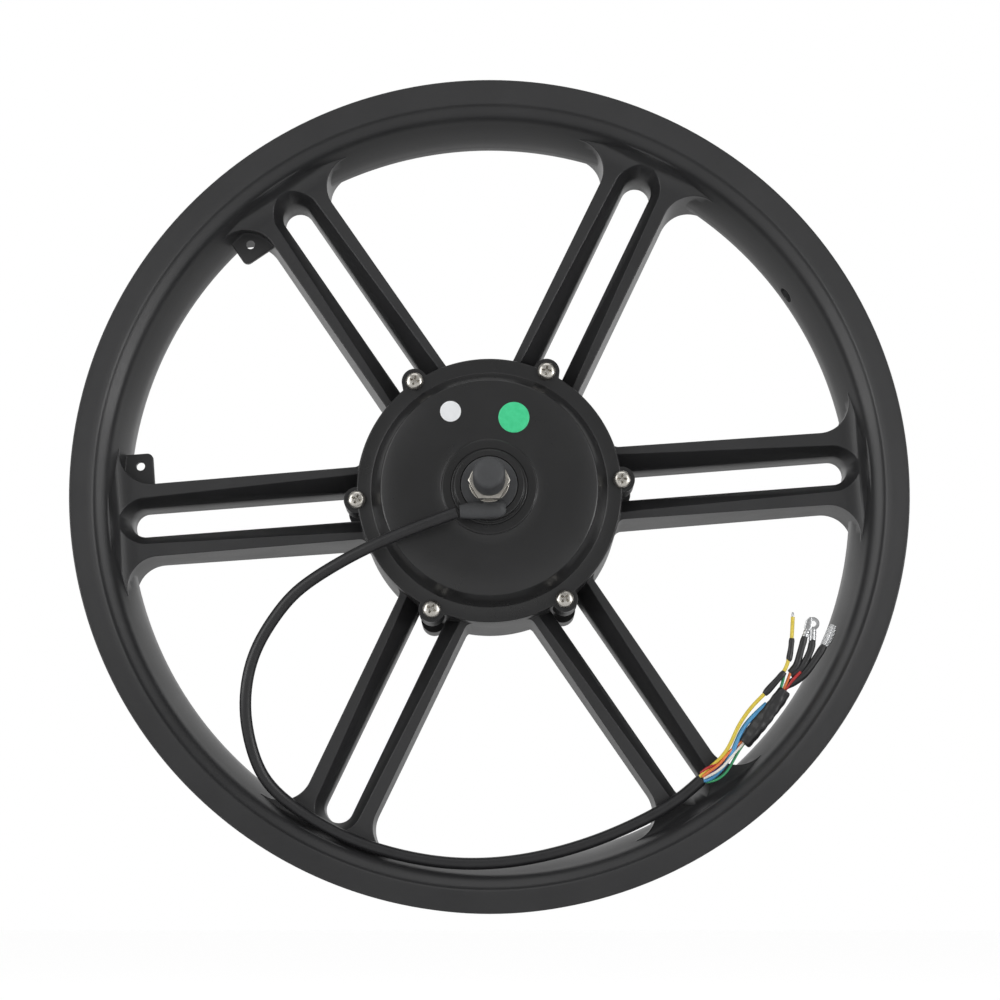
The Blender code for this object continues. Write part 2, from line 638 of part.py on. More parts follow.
def washer(name, outward):
    near = outward * (DROPOUT_HALF_WIDTH + GAP)
    return tube(name, THREAD_AXLE_RADIUS + GAP, WASHER_RADIUS, near, near + outward * WASHER_THICKNESS, 24)


def nut_seat():
    """Inner face of an axle nut, from the centre plane."""
    return DROPOUT_HALF_WIDTH + 2 * GAP + WASHER_THICKNESS


def axle_nut(name, outward):
    """Hexagon nut with its outer corners turned off."""
    near = outward * nut_seat()
    far = near + outward * NUT_THICKNESS
    corner = NUT_ACROSS_FLATS / math.sqrt(3)
    body = prism(name, circle((0, 0), corner, 6), min(near, far), max(near, far))
    bore = THREAD_AXLE_RADIUS + GAP
    wide = corner + 1 * MM
    below, above = near - outward * 1 * MM, far + outward * 1 * MM
    blank = ring("blank", [(bore, below), (wide, below), (wide, far - outward * 1.2 * MM),
                           (NUT_ACROSS_FLATS / 2, far + outward * 0.4 * MM), (bore, above)], 24)
    return keep_inside(body, blank)


def axle_sleeve():
    """Soft cap drawn over the threaded end of the axle on the freewheel side."""
    start = nut_seat() + NUT_THICKNESS + GAP
    inner_end = AXLE_DRIVE_END + GAP
    end = inner_end + SLEEVE_CLOSED_END
    bore = THREAD_AXLE_RADIUS + GAP
    profile = [(0, -end), (SLEEVE_RADIUS - 2 * MM, -end), (SLEEVE_RADIUS - 0.6 * MM, -end + 0.8 * MM),
               (SLEEVE_RADIUS, -end + 2.2 * MM), (SLEEVE_RADIUS, -start), (bore, -start), (bore, -inner_end),
               (0, -inner_end)]
    return solid_of_turning("axle_sleeve", profile, 24)


def cable_boot():
    """Moulded elbow that leads the cable out of the axle's window and away to the side."""
    along = BOOT_END - BOOT_START
    turn = Matrix.Rotation(math.atan2(along.x, along.z), 4, AXIS)
    last = along.length
    stations = ((0, 0.5), (1.0 * MM, 0.8), (2.6 * MM, 0.97), (4.5 * MM, 1), (last - 6 * MM, 1),
                (last - 2 * MM, 0.93), (last, 0.78))
    layers = []
    for offset, share in stations:
        place = Matrix.Translation(BOOT_START) @ turn @ Matrix.Translation((0, 0, offset))
        oval = circle((0, 0), share, 16)
        layers.append([place @ Vector((a * BOOT_HALF_HEIGHT, b * BOOT_HALF_DEPTH, 0)) for a, b in oval])
    body = stack("cable_boot", layers)
    return join(body, window_box("neck", -GAP, -CABLE_BORE - 1 * MM))


def brake_spacer():
    """Tube on the axle between the brake side bearing and the washer."""
    return tube("brake_spacer", JOURNAL_RADIUS + GAP, SPACER_RADIUS, brake_bearing_floor(),
                DROPOUT_HALF_WIDTH, 24)


# ---- bearings and seals -----------------------------------------------------------------------
def bearing(prefix, sizes, front, race, cage_finish):
    """Inner race, outer race and the ball cage between them."""
    outer, width = sizes
    bore = JOURNAL_RADIUS + GAP
    paint(tube(f"{prefix}_inner_race", bore, bore + RACE_WALL, front, front + width, SMALL_STEPS), race)
    paint(tube(f"{prefix}_outer_race", outer - RACE_WALL, outer, front, front + width, SMALL_STEPS), race)
    inside, outside = bore + RACE_WALL + GAP, outer - RACE_WALL - GAP
    cage = tube(f"{prefix}_ball_cage", inside, outside, front + width * 0.12, front + width * 0.88,
                SMALL_STEPS)
    paint(cage, cage_finish)


def bearings(race, cage_finish):
    bearing("drive_bearing", DRIVE_BEARING, -drive_bearing_front(), race, cage_finish)
    rear = brake_bearing_floor() - GAP - BRAKE_BEARING[1]
    bearing("brake_bearing", BRAKE_BEARING, rear, race, cage_finish)


def drive_axle_seal():
    start = -thread_end()
    return tube("drive_axle_seal", JOURNAL_RADIUS + GAP, DRIVE_BEARING[0], start,
                start + SEAL_THICKNESS, SMALL_STEPS)


def brake_axle_seal():
    outer = BRAKE_BEARING[0] - BEARING_LIP
    start = brake_bearing_floor() + GAP
    return tube("brake_axle_seal", SPACER_RADIUS + GAP, outer, start, start + SEAL_THICKNESS, SMALL_STEPS)


# ---- stator -----------------------------------------------------------------------------------
def stator_core():
    """Stack of laminations: a yoke with teeth whose heads nearly meet."""
    pitch = 2 * math.pi / STATOR_TEETH
    root = STATOR_BORE + STATOR_YOKE
    head = STATOR_RADIUS - 2.5 * MM
    outline = []
    for k in range(STATOR_TEETH):
        a = k * pitch
        half = [(root, 0.3), (head, 0.18), (STATOR_RADIUS, 0.43)]
        outline += [polar(r, a - s * pitch) for r, s in half]
        outline += [polar(r, a + s * pitch) for r, s in reversed(half)]
    body = prism("stator_core", outline, STATOR_FRONT, STATOR_BACK)
    bore = circle((0, 0), STATOR_BORE, SMALL_STEPS)
    return cut(body, prism("stator_bore", bore, STATOR_FRONT - 5 * MM, STATOR_BACK + 5 * MM))


def end_turns(name, near, outward):
    """Bulging ring of coil ends at one face of the stator, one lobe for each tooth."""
    steps = STATOR_TEETH * 2
    layers = []
    for depth, narrower in ((0, 1.5 * MM), (0.5, 0), (1, 2.5 * MM)):
        y = near + outward * WINDING_OVERHANG * depth
        inner, outer = [], []
        for i in range(steps):
            a = 2 * math.pi * i / steps
            lobe = 1.0 * MM if i % 2 else 0
            outer.append((*polar(STATOR_RADIUS - 3.5 * MM - narrower - lobe, a), y))
            inner.append((*polar(STATOR_BORE + 4 * MM + narrower, a), y))
        layers.append((inner, outer))
    bm = bmesh.new()
    loops = [[[bm.verts.new((x, y, z)) for x, z, y in side] for side in pair] for pair in layers]
    for i in range(steps):
        j = (i + 1) % steps
        for low, high in zip(loops, loops[1:]):
            for side in (0, 1):
                bm.faces.new((low[side][i], low[side][j], high[side][j], high[side][i]))
        for end in (loops[0], loops[-1]):
            bm.faces.new((end[0][i], end[0][j], end[1][j], end[1][i]))
    return finished(name, bm)


def stator_hub():
    """Aluminium boss that fixes the laminations to the axle."""
    return tube("stator_hub", STATOR_SEAT + GAP, STATOR_BORE - GAP, STATOR_FRONT, STATOR_BACK, SMALL_STEPS)


def hall_board():
    """Part-ring circuit board of the position sensors, on the end turns."""
    y = STATOR_FRONT - GAP - WINDING_OVERHANG - GAP
    start, end = math.radians(12), math.radians(148)
    outline = arc((0, 0), STATOR_RADIUS - 7 * MM, start, end, 12)
    outline += arc((0, 0), STATOR_BORE + 7 * MM, end, start, 12)
    return prism("hall_sensor_board", outline, y - BOARD_THICKNESS, y)


# ---- rotor ------------------------------------------------------------------------------------
def magnet_bore():
    return STATOR_RADIUS + AIR_GAP


def bell_bore():
    return magnet_bore() + MAGNET_THICKNESS + GAP


def magnet_ring():
    outer = magnet_bore() + MAGNET_THICKNESS
    return tube("magnet_ring", magnet_bore(), outer, STATOR_FRONT, STATOR_BACK, STATOR_TEETH * 2)


def rotor_bell():
    """Steel cup round the stator, its end plate towards the gears."""
    bore = ROTOR_BEARING_RADIUS + GAP
    inner = bell_bore()
    outer = inner + BELL_WALL
    back = BELL_PLATE_FRONT + BELL_PLATE
    profile = [(inner, BELL_FRONT), (outer, BELL_FRONT), (outer, back - 1 * MM), (outer - 1 * MM, back),
               (bore, back), (bore, BELL_PLATE_FRONT), (inner, BELL_PLATE_FRONT)]
    return ring("rotor_bell", profile, STATOR_TEETH * 2)


def rotor_bearing(race):
    bore = JOURNAL_RADIUS + GAP
    middle = (bore + ROTOR_BEARING_RADIUS - GAP) / 2
    back = BELL_PLATE_FRONT + BELL_PLATE
    paint(tube("rotor_bearing_inner_race", bore, middle, BELL_PLATE_FRONT, back, 24), race)
    paint(tube("rotor_bearing_outer_race", middle + GAP, ROTOR_BEARING_RADIUS, BELL_PLATE_FRONT, back,
               24), race)


# ---- planetary gears --------------------------------------------------------------------------
def involute(angle):
    return math.tan(angle) - angle


def gear_outline(teeth, root, tip, thinner, phase):
    """Outline of straight-sided teeth whose corners lie on involute flanks."""
    pitch_radius = MODULE * teeth / 2
    base = pitch_radius * math.cos(PRESSURE_ANGLE)
    middle_half = math.pi / (2 * teeth) - thinner / (2 * pitch_radius) + involute(PRESSURE_ANGLE)
    root_half, tip_half = (middle_half - involute(math.acos(min(1, base / r))) for r in (root, tip))
    outline = []
    for k in range(teeth):
        a = phase + 2 * math.pi * k / teeth
        outline += [polar(root, a - root_half), polar(tip, a - tip_half), polar(tip, a + tip_half),
                    polar(root, a + root_half)]
    return outline


def planet_angles():
    return [FIRST_PLANET + 2 * math.pi * k / PLANET_COUNT for k in range(PLANET_COUNT)]


def planet_distance():
    return MODULE * (SUN_TEETH + PLANET_TEETH) / 2


def ring_gear():
    """Internal gear fixed in the shell, a tooth space facing each planet."""
    pitch = MODULE * RING_TEETH / 2
    front = PLANET_FRONT - RING_OVERLAP
    back = PLANET_FRONT + PLANET_WIDTH + RING_OVERLAP
    body = prism("ring_gear", circle((0, 0), SHELL_BORE - GAP, COVER_STEPS), front, back)
    spaces = gear_outline(RING_TEETH, pitch - ADDENDUM, pitch + DEDENDUM, -BACKLASH, FIRST_PLANET)
    return cut(body, prism("tooth_spaces", spaces, front - 5 * MM, back + 5 * MM))


def sun_gear():
    """Sun gear, a tooth facing each planet, with the flange that fixes it to the rotor."""
    pitch = MODULE * SUN_TEETH / 2
    start = BELL_PLATE_FRONT + BELL_PLATE + GAP
    end = PLANET_FRONT + PLANET_WIDTH + 0.5 * MM
    teeth = gear_outline(SUN_TEETH, pitch - DEDENDUM, pitch + ADDENDUM, BACKLASH, FIRST_PLANET)
    body = prism("sun_gear", teeth, start + SUN_FLANGE_THICKNESS / 2, end)
    join(body, prism("flange", circle((0, 0), SUN_FLANGE_RADIUS, 24), start, start + SUN_FLANGE_THICKNESS))
    bore = circle((0, 0), JOURNAL_RADIUS + GAP, SMALL_STEPS)
    return cut(body, prism("sun_bore", bore, start - 5 * MM, end + 5 * MM))


def planet_gear(index, angle):
    """Planet gear with its origin on its pin; its odd tooth count puts a space at the sun."""
    pitch = MODULE * PLANET_TEETH / 2
    teeth = gear_outline(PLANET_TEETH, pitch - DEDENDUM, pitch + ADDENDUM, BACKLASH, angle)
    back = PLANET_FRONT + PLANET_WIDTH
    body = prism(f"planet_gear_{index}", teeth, PLANET_FRONT, back)
    bore = circle((0, 0), PIN_RADIUS + GAP, 16)
    cut(body, prism("planet_bore", bore, PLANET_FRONT - 5 * MM, back + 5 * MM))
    x, z = polar(planet_distance(), angle)
    body.location = (x, 0, z)
    return body


def planet_pin(index, angle):
    outline = circle(polar(planet_distance(), angle), PIN_RADIUS, 16)
    back = CARRIER_FRONT + CARRIER_THICKNESS + 0.8 * MM
    return prism(f"planet_pin_{index}", outline, PLANET_FRONT - 1 * MM, back)


def planet_carrier():
    """Plate that holds the planet pins, round the one-way clutch's hub."""
    back = CARRIER_FRONT + CARRIER_THICKNESS
    body = tube("planet_carrier", CLUTCH_RADIUS + GAP, CARRIER_RADIUS, CARRIER_FRONT, back, 36)
    for angle in planet_angles():
        outline = circle(polar(planet_distance(), angle), PIN_RADIUS + GAP, 16)
        cut(body, prism("pin_hole", outline, CARRIER_FRONT - 5 * MM, back + 5 * MM))
    return body


def clutch_hub():
    back = CARRIER_FRONT + CARRIER_THICKNESS
    return tube("clutch_hub", JOURNAL_RADIUS + GAP, CLUTCH_RADIUS, CARRIER_FRONT - GAP, back + GAP,
                SMALL_STEPS)


def retaining_ring():
    front = CARRIER_FRONT + CARRIER_THICKNESS + 2 * GAP
    return tube("retaining_ring", JOURNAL_RADIUS + GAP, JOURNAL_RADIUS + 2 * MM, front,
                front + 1.2 * MM, SMALL_STEPS)


# ---- assembly ---------------------------------------------------------------------------------
def materials():
    """One Principled material for each finish, colours in linear light."""
    return {
        "black_paint": material("black_paint", (0.022, 0.022, 0.022), 0.4),
        "zinc": material("zinc", (0.62, 0.61, 0.58), 0.25, 1.0),
        "steel": material("steel", (0.42, 0.42, 0.43), 0.38, 1.0),
        "nickel": material("nickel", (0.55, 0.54, 0.5), 0.22, 1.0),
        "bearing_steel": material("bearing_steel", (0.6, 0.6, 0.6), 0.2, 1.0),
        "aluminium": material("aluminium", (0.6, 0.6, 0.62), 0.4, 1.0),
        "rubber": material("rubber", (0.05, 0.05, 0.052), 0.6),
        "cable_jacket": material("cable_jacket", (0.016, 0.016, 0.017), 0.45),
        "lamination": material("lamination", (0.2, 0.2, 0.21), 0.5, 1.0),
        "copper": material("copper", (0.7, 0.28, 0.12), 0.35, 1.0),
        "circuit_board": material("circuit_board", (0.02, 0.16, 0.06), 0.4),
        "magnet": material("magnet", (0.35, 0.35, 0.36), 0.3, 1.0),
        "nylon": material("nylon", (0.75, 0.73, 0.66), 0.5),
        "white_label": material("white_label", (0.72, 0.73, 0.74), 0.4),
        "green_label": material("green_label", (0.04, 0.58, 0.24), 0.4),
        "yellow_wire": material("yellow_wire", (0.72, 0.58, 0.06), 0.4),
        "blue_wires": material("blue_wires", (0.08, 0.22, 0.5), 0.4),
    }


def wheel_pieces(m):
    paint(wheel_casting(), m["black_paint"])
    paint(drive_side_cover(), m["black_paint"])
    paint(brake_side_cover(), m["black_paint"])
    cover_screws(m["zinc"])
    paint(sticker("white_sticker", WHITE_STICKER), m["white_label"])
    paint(sticker("green_sticker", GREEN_STICKER), m["green_label"])
    paint(drive_axle_seal(), m["rubber"])
    paint(brake_axle_seal(), m["rubber"])
    paint(ring_gear(), m["steel"])


def axle_pieces(m):
    paint(axle(), m["steel"])
    for side, outward in (("drive", -1), ("brake", 1)):
        paint(washer(f"{side}_washer", outward), m["nickel"])
        paint(axle_nut(f"{side}_axle_nut", outward), m["nickel"])
    paint(axle_sleeve(), m["rubber"])
    paint(brake_spacer(), m["steel"])
    paint(cable_boot(), m["rubber"])
    bearings(m["bearing_steel"], m["nickel"])


def motor_pieces(m):
    paint(stator_core(), m["lamination"])
    paint(stator_hub(), m["aluminium"])
    paint(end_turns("drive_end_turns", STATOR_FRONT - GAP, -1), m["copper"])
    paint(end_turns("brake_end_turns", STATOR_BACK + GAP, 1), m["copper"])
    paint(hall_board(), m["circuit_board"])
    paint(rotor_bell(), m["steel"])
    paint(magnet_ring(), m["magnet"])
    rotor_bearing(m["bearing_steel"])


def gear_pieces(m):
    paint(sun_gear(), m["steel"])
    for k, angle in enumerate(planet_angles()):
        paint(planet_gear(k + 1, angle), m["nylon"])
        paint(planet_pin(k + 1, angle), m["steel"])
    paint(planet_carrier(), m["steel"])
    paint(clutch_hub(), m["steel"])
    paint(retaining_ring(), m["steel"])


def cable_pieces(m):
    paint(cord("motor_cable", CABLE_POINTS, CABLE_RADIUS, 6 * CABLE_RADIUS), m["cable_jacket"])
    paint(cord("yellow_phase_wire", YELLOW_WIRE_POINTS, YELLOW_WIRE_RADIUS, 6 * YELLOW_WIRE_RADIUS, 1),
          m["yellow_wire"])
    paint(cord("wire_bundle", BUNDLE_POINTS, BUNDLE_RADIUS, 2 * BUNDLE_RADIUS), m["blue_wires"])
    paint(cord("heat_shrink_sleeve", SHRINK_POINTS, SHRINK_RADIUS, 3 * SHRINK_RADIUS), m["cable_jacket"])
    paint(cord("terminal_leads", LEADS_POINTS, LEADS_RADIUS, 2 * LEADS_RADIUS), m["cable_jacket"])


def build():
    for obj in list(bpy.data.objects):
        bpy.data.objects.remove(obj)
    m = materials()
    wheel_pieces(m)
    axle_pieces(m)
    motor_pieces(m)
    gear_pieces(m)
    cable_pieces(m)


build()
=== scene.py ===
"""Looks of a black cast wheel with a geared hub motor, its axle ends and its motor cable.

Lengths are in metres.  The axle runs along Y, the freewheel side faces -Y, and angles round the axle
start at +X and turn towards +Z.
"""

import json
import math

import bmesh
import bpy
from mathutils import Matrix, Vector

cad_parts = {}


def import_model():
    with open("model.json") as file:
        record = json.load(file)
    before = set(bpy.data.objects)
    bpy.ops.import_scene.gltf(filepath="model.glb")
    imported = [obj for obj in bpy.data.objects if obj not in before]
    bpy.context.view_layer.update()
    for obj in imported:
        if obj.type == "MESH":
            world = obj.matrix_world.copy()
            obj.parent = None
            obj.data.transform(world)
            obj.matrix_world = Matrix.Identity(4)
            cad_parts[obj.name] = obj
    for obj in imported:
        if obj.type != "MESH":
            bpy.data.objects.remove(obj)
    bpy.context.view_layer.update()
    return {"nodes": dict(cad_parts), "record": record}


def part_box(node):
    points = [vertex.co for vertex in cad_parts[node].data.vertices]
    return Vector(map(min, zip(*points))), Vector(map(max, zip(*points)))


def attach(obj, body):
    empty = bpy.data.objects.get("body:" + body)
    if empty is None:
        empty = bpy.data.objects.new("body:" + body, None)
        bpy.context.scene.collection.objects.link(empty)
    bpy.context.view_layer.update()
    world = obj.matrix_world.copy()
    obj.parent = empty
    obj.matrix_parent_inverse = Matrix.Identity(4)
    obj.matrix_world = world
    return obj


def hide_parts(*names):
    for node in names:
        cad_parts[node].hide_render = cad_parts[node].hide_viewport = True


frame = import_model()

MM = 0.001
AXIS = Vector((0, 1, 0))

# ---- view and light ---------------------------------------------------------------------------
CAMERA_DISTANCE = 1.667
CAMERA_ASIDE = 5.3 * MM
CAMERA_TILT = math.radians(7.33)        # the eye is below the axle and looks up
LENS = 117.35
SENSOR = 36
FLOOR_HEIGHT = -0.32
FLOOR_HALF_WIDTH = 30
FLOOR_GLOW = 0.52                       # lifts the floor to white for the eye alone
SOFT_LIGHT = 0.5                        # the world's light on a matt surface
GLOSS_FRONT, GLOSS_BEHIND = 0.42, 0.95  # what a shiny surface sees of it before and behind the wheel

# ---- casting ----------------------------------------------------------------------------------
RIM_STEPS = 240
ROUND_STEPS = 180
SPOKE_START = math.radians(4.4)
SPOKE_HALF_WIDTH = 18.4 * MM
SPOKE_ENDS = (62.5 * MM, 192.4 * MM)
SPOKE_HALF_DEPTHS = (28 * MM, 21 * MM)         # at the hub shell, at the rim
FLARE_RADIUS = 188.6 * MM               # where a spoke's fillets run out on the barrel
SHELL_RADIUS = 66.4 * MM
SHELL_BORE = 59 * MM
SHELL_HALF_WIDTH = 35 * MM
RIM_FILLET = 16 * MM
HUB_FILLET = 4 * MM
SLOT_HALF_WIDTH = 7.4 * MM
SLOT_END = 182 * MM
SLOT_LAND = 13 * MM
SLOT_OPENING = 0.5
SWEEP_START = 179.5 * MM                # where a spoke's face starts to climb into the rim
SWEEP_RUN = 11.5 * MM
SWEEP_RISE = 8 * MM
EAR_RADIUS = 6.5 * MM
EAR_LENGTH = 17 * MM
SEAT_RADIUS = 189.7 * MM                # the barrel, where a spoke's taper ends
DROP_WELL = (189.8 * MM, 15.5 * MM)     # the tyre's well: its floor's radius and its half width
TAB_FACES = (-13 * MM, -9 * MM)
TAB_HOLE = 2.25 * MM
TABS = ((2, 1, 176.7 * MM, 27.6 * MM), (3, -1, 175.6 * MM, 29.2 * MM))
VALVE_ANGLE = math.radians(34.6)
VALVE_RADIUS = 4.2 * MM
VALVE_Y = -8 * MM

# ---- covers and axle --------------------------------------------------------------------------
COVER_FACE = 40 * MM                    # a cover's flange, from the centre plane
CLEARANCE = 0.3 * MM
THREAD_RADIUS = 17.46 * MM              # crest of the freewheel's thread
THREAD_PITCH = 1.058 * MM
THREAD_DEPTH = 0.5 * MM
AXLE_RADIUS = 6 * MM
AXLE_THREAD_PITCH = 1.25 * MM
AXLE_THREAD_DEPTH = 0.75 * MM
AXLE_FLAT = 5 * MM                      # from the axis to each of the two milled flats
AXLE_STEPS = 96                         # sides of a small turned piece

# ---- routes of the cable and its wires, in millimetres -----------------------------------------
EASING = 14                             # rounds of smoothing on a route
CABLE_DIAMETER = 6 * MM
CABLE_POINTS = (
    (-15.9, -64.1, -14.3), (-44.2, -62.0, -24.7), (-68.9, -59.0, -35.8), (-93.7, -55.0, -50.8),
    (-100.2, -54.0, -57.2), (-113.6, -51.0, -76.7), (-117.6, -49.0, -86.5), (-119.9, -47.0, -96.3),
    (-120.9, -45.0, -106.0), (-120.5, -42.0, -115.7), (-118.0, -38.0, -127.9), (-111.7, -33.0, -144.6),
    (-94.2, -29.0, -159.5), (-70.0, -27.0, -173.0), (-45.2, -26.6, -181.0), (-19.5, -26.6, -185.2),
    (6.5, -26.6, -184.9), (31.9, -26.6, -180.4), (56.2, -26.4, -172.8), (77.4, -26.2, -163.4),
    (90.2, -26.0, -156.4), (98.6, -26.0, -150.4), (105.5, -26.0, -143.8),
)
# Each core: its route, its diameter, its slot, how it ends and the frame's node that it stands for.
WIRES = {
    "yellow": (
        ((104.8, -27.8, -142.3), (108.5, -29.4, -138.8), (112.8, -30.3, -135.4), (116.7, -30.5, -131.4),
         (120.3, -30.5, -125.4), (123.2, -30.5, -118.6), (126.9, -30.5, -112.6), (131.6, -30.5, -106.6),
         (137.3, -30.5, -101.1), (143.6, -31.0, -94.2), (147.6, -31.0, -89.4), (149.7, -30.8, -82.2),
         (150.9, -30.5, -74.3), (151.6, -30.5, -62.8)),
        2.0, "yellow_wire", "bare", ("yellow_phase_wire",)),
    "red": (
        ((105.2, -28.0, -140.6), (106.7, -30.0, -138.5), (110.6, -31.0, -137.1), (115.3, -30.0, -135.7),
         (119.0, -28.5, -132.4), (123.0, -28.0, -127.7), (127.6, -28.0, -124.5), (133.0, -28.0, -118.0)),
        1.4, "blue_wires", "object", ()),
    "blue": (
        ((106.8, -27.0, -144.2), (110.7, -28.0, -143.4), (115.3, -29.5, -138.5), (119.6, -29.5, -132.8),
         (122.5, -29.5, -126.4), (125.5, -29.0, -119.2), (129.5, -28.8, -114.2), (133.8, -28.5, -109.9),
         (138.2, -28.5, -106.0)),
        2.4, "blue_wires", "object", ("wire_bundle",)),
    "green": (
        ((107.3, -26.0, -144.9), (111.4, -27.5, -144.8), (117.1, -28.5, -141.3), (121.5, -28.0, -134.2),
         (124.8, -27.5, -128.4), (128.4, -27.5, -123.8), (133.0, -27.5, -118.0)),
        1.4, "blue_wires", "object", ()),
    "white": (
        ((106.7, -29.0, -143.1), (109.8, -31.0, -141.8), (114.8, -31.5, -138.9), (118.4, -31.0, -135.0),
         (122.8, -29.5, -129.6), (128.0, -28.5, -124.2), (133.0, -28.2, -118.0)),
        1.4, "blue_wires", "object", ()),
    "purple": (
        ((106.3, -28.0, -142.7), (110.7, -29.0, -140.2), (115.7, -29.0, -135.6), (120.1, -28.5, -130.6),
         (123.8, -27.5, -125.2), (128.1, -27.0, -123.1), (133.0, -27.3, -118.0)),
        1.4, "blue_wires", "object", ()),
    "orange": (
        ((106.0, -29.5, -142.4), (109.8, -31.5, -139.3), (114.4, -31.8, -136.5), (117.8, -30.5, -131.8),
         (121.4, -29.5, -127.8), (127.6, -28.3, -123.5), (133.0, -28.0, -117.5)),
        1.4, "blue_wires", "object", ()),
}
SHRINK_POINTS = ((126.6, -28, -125.7), (132.0, -28, -119.6), (137.4, -28, -112.8), (142.3, -28, -106.2),
                 (147.2, -28, -99.2))
# Each end sleeve: its name, its route and its radius.
SLEEVES = (
    ("yellow_end_sleeve", ((137.0, -30.5, -101.5), (143.6, -31.0, -94.2), (147.1, -31.0, -90.4)), 1.7),
    ("pin_end_sleeve", ((149.3, -30.7, -85.0), (150.4, -30.5, -79.0), (151.0, -30.5, -73.5)), 1.5),
    ("blade_end_sleeve",
     ((149.7, -29, -90.6), (153.2, -29, -87.4), (155.4, -29, -80.0), (157.6, -29, -72.5)), 1.8),
    ("ring_end_sleeve",
     ((150.5, -28, -92.0), (155.9, -28.5, -88.1), (160.4, -28.5, -79.5), (161.5, -28.5, -74.0)), 1.9),
    ("braid_end_sleeve",
     ((148.0, -27.5, -97.4), (157.0, -28, -91.3), (163.4, -28, -83.0), (167.4, -28, -76.8)), 2.1),
)
# Each short core between the shrunk sleeve and an end sleeve: its colour and its route.
TAIL_RADIUS = 0.75
TAILS = {
    "orange": ((145.5, -28, -101.4), (147.9, -29, -96.4), (149.3, -29.5, -92.8), (150.8, -29.5, -88.9)),
    "green": ((144.6, -28, -100.5), (146.1, -29.5, -95.7), (147.1, -30, -91.4)),
    "red": ((146.4, -27.6, -100.8), (151.3, -29.6, -94.4), (155.2, -29.8, -90.2)),
}
BLADE_POINTS = ((157.2, -29, -74), (158.6, -29, -70), (160.8, -29, -62.8))
BRAID_POINTS = ((166.4, -28, -78.3), (169.3, -28, -73.5), (172.0, -28, -66.6))
RING_BARREL_POINTS = ((161.2, -28.5, -76), (161.6, -28.5, -71.5), (161.7, -28.5, -68.6))
RING_CENTRE = (161.8, -28.5, -66.0)
PIN_POINTS = ((151.3, -30.5, -71.0), (151.5, -30.5, -66.0), (151.6, -30.5, -60.5))

# Darkest and lightest colour of each core's insulation.
CORES = {
    "yellow": ("#cdb53a", "#dfc94e"), "red": ("#a32226", "#bd3534"), "blue": ("#3f86b8", "#5a9fcd"),
    "green": ("#2f8f5a", "#49a872"), "white": ("#d5d2c8", "#e4e1d8"), "purple": ("#7d4f95", "#9468aa"),
    "orange": ("#d36a2e", "#e58146"),
}


# ---- materials --------------------------------------------------------------------------------
def linear(colour):
    """Linear colour from an sRGB hex value."""
    channels = [int(colour[i:i + 2], 16) / 255 for i in (1, 3, 5)]
    return (*(c / 12.92 if c <= 0.04045 else ((c + 0.055) / 1.055) ** 2.4 for c in channels), 1)


def add(tree, kind, values=(), links=()):
    """Add one node, set its settings or socket values, and link sources to its inputs."""
    node = tree.nodes.new(kind)
    for key, value in dict(values).items():
        if isinstance(key, int) or key in node.inputs:
            node.inputs[key].default_value = value
        else:
            setattr(node, key, value)
    for key, source in dict(links).items():
        tree.links.new(source, node.inputs[key])
    return node


def surface(name, dark, light, roughness, metallic=0.0, grain=0.6, relief=0.0, edge=0.0, turned=0.0,
            patch=9.0, coat=0.0, specular=0.5):
    """A finish with mottled colour, uneven gloss and a fine relief.

    dark and light are the ends of the colour's drift, and roughness its lowest and highest.  In
    millimetres, patch is the size of the drift's clouds, grain that of the relief's grains, turned the
    spacing of the turning marks, relief the relief's depth, and edge the radius that the light sees
    on a corner.
    """
    material = bpy.data.materials.new(name)
    material.use_nodes = True
    tree = material.node_tree
    shader = tree.nodes["Principled BSDF"]
    shader.inputs["Metallic"].default_value = metallic
    shader.inputs["Coat Weight"].default_value = coat
    shader.inputs["Coat Roughness"].default_value = 0.2
    shader.inputs["Specular IOR Level"].default_value = specular
    where = add(tree, "ShaderNodeTexCoord").outputs["Object"]
    drift = add(tree, "ShaderNodeTexNoise", {"Scale": 1000 / patch, "Detail": 4, "Roughness": 0.6},
                {"Vector": where})
    fine = add(tree, "ShaderNodeTexNoise", {"Scale": 1000 / grain, "Detail": 2, "Roughness": 0.55},
               {"Vector": where})
    colour = add(tree, "ShaderNodeMix", {"data_type": "RGBA", 6: linear(dark), 7: linear(light)},
                 {0: drift.outputs["Fac"]})
    tree.links.new(colour.outputs[2], shader.inputs["Base Color"])
    blend = add(tree, "ShaderNodeMix", {0: 0.35}, {2: drift.outputs["Fac"], 3: fine.outputs["Fac"]})
    gloss = add(tree, "ShaderNodeMapRange",
                {"From Min": 0.3, "From Max": 0.7, "To Min": roughness[0], "To Max": roughness[1]},
                {"Value": blend.outputs[0]})
    tree.links.new(gloss.outputs[0], shader.inputs["Roughness"])
    height = fine.outputs["Fac"]
    if turned:
        flat = add(tree, "ShaderNodeVectorMath", {"operation": "MULTIPLY", 1: (1, 0, 1)}, {0: where})
        radius = add(tree, "ShaderNodeVectorMath", {"operation": "LENGTH"}, {0: flat.outputs[0]})
        turns = add(tree, "ShaderNodeMath", {"operation": "MULTIPLY", 1: 2000 * math.pi / turned},
                    {0: radius.outputs["Value"]})
        marks = add(tree, "ShaderNodeMath", {"operation": "SINE"}, {0: turns.outputs[0]})
        mixed = add(tree, "ShaderNodeMath", {"operation": "MULTIPLY_ADD", 1: 0.35},
                    {0: marks.outputs[0], 2: height})
        height = mixed.outputs[0]
    if relief:
        bump = add(tree, "ShaderNodeBump", {"Strength": 1, "Distance": relief * MM}, {"Height": height})
        if edge:
            soft = add(tree, "ShaderNodeBevel", {"samples": 6, "Radius": edge * MM})
            tree.links.new(soft.outputs[0], bump.inputs["Normal"])
        tree.links.new(bump.outputs[0], shader.inputs["Normal"])
    return material


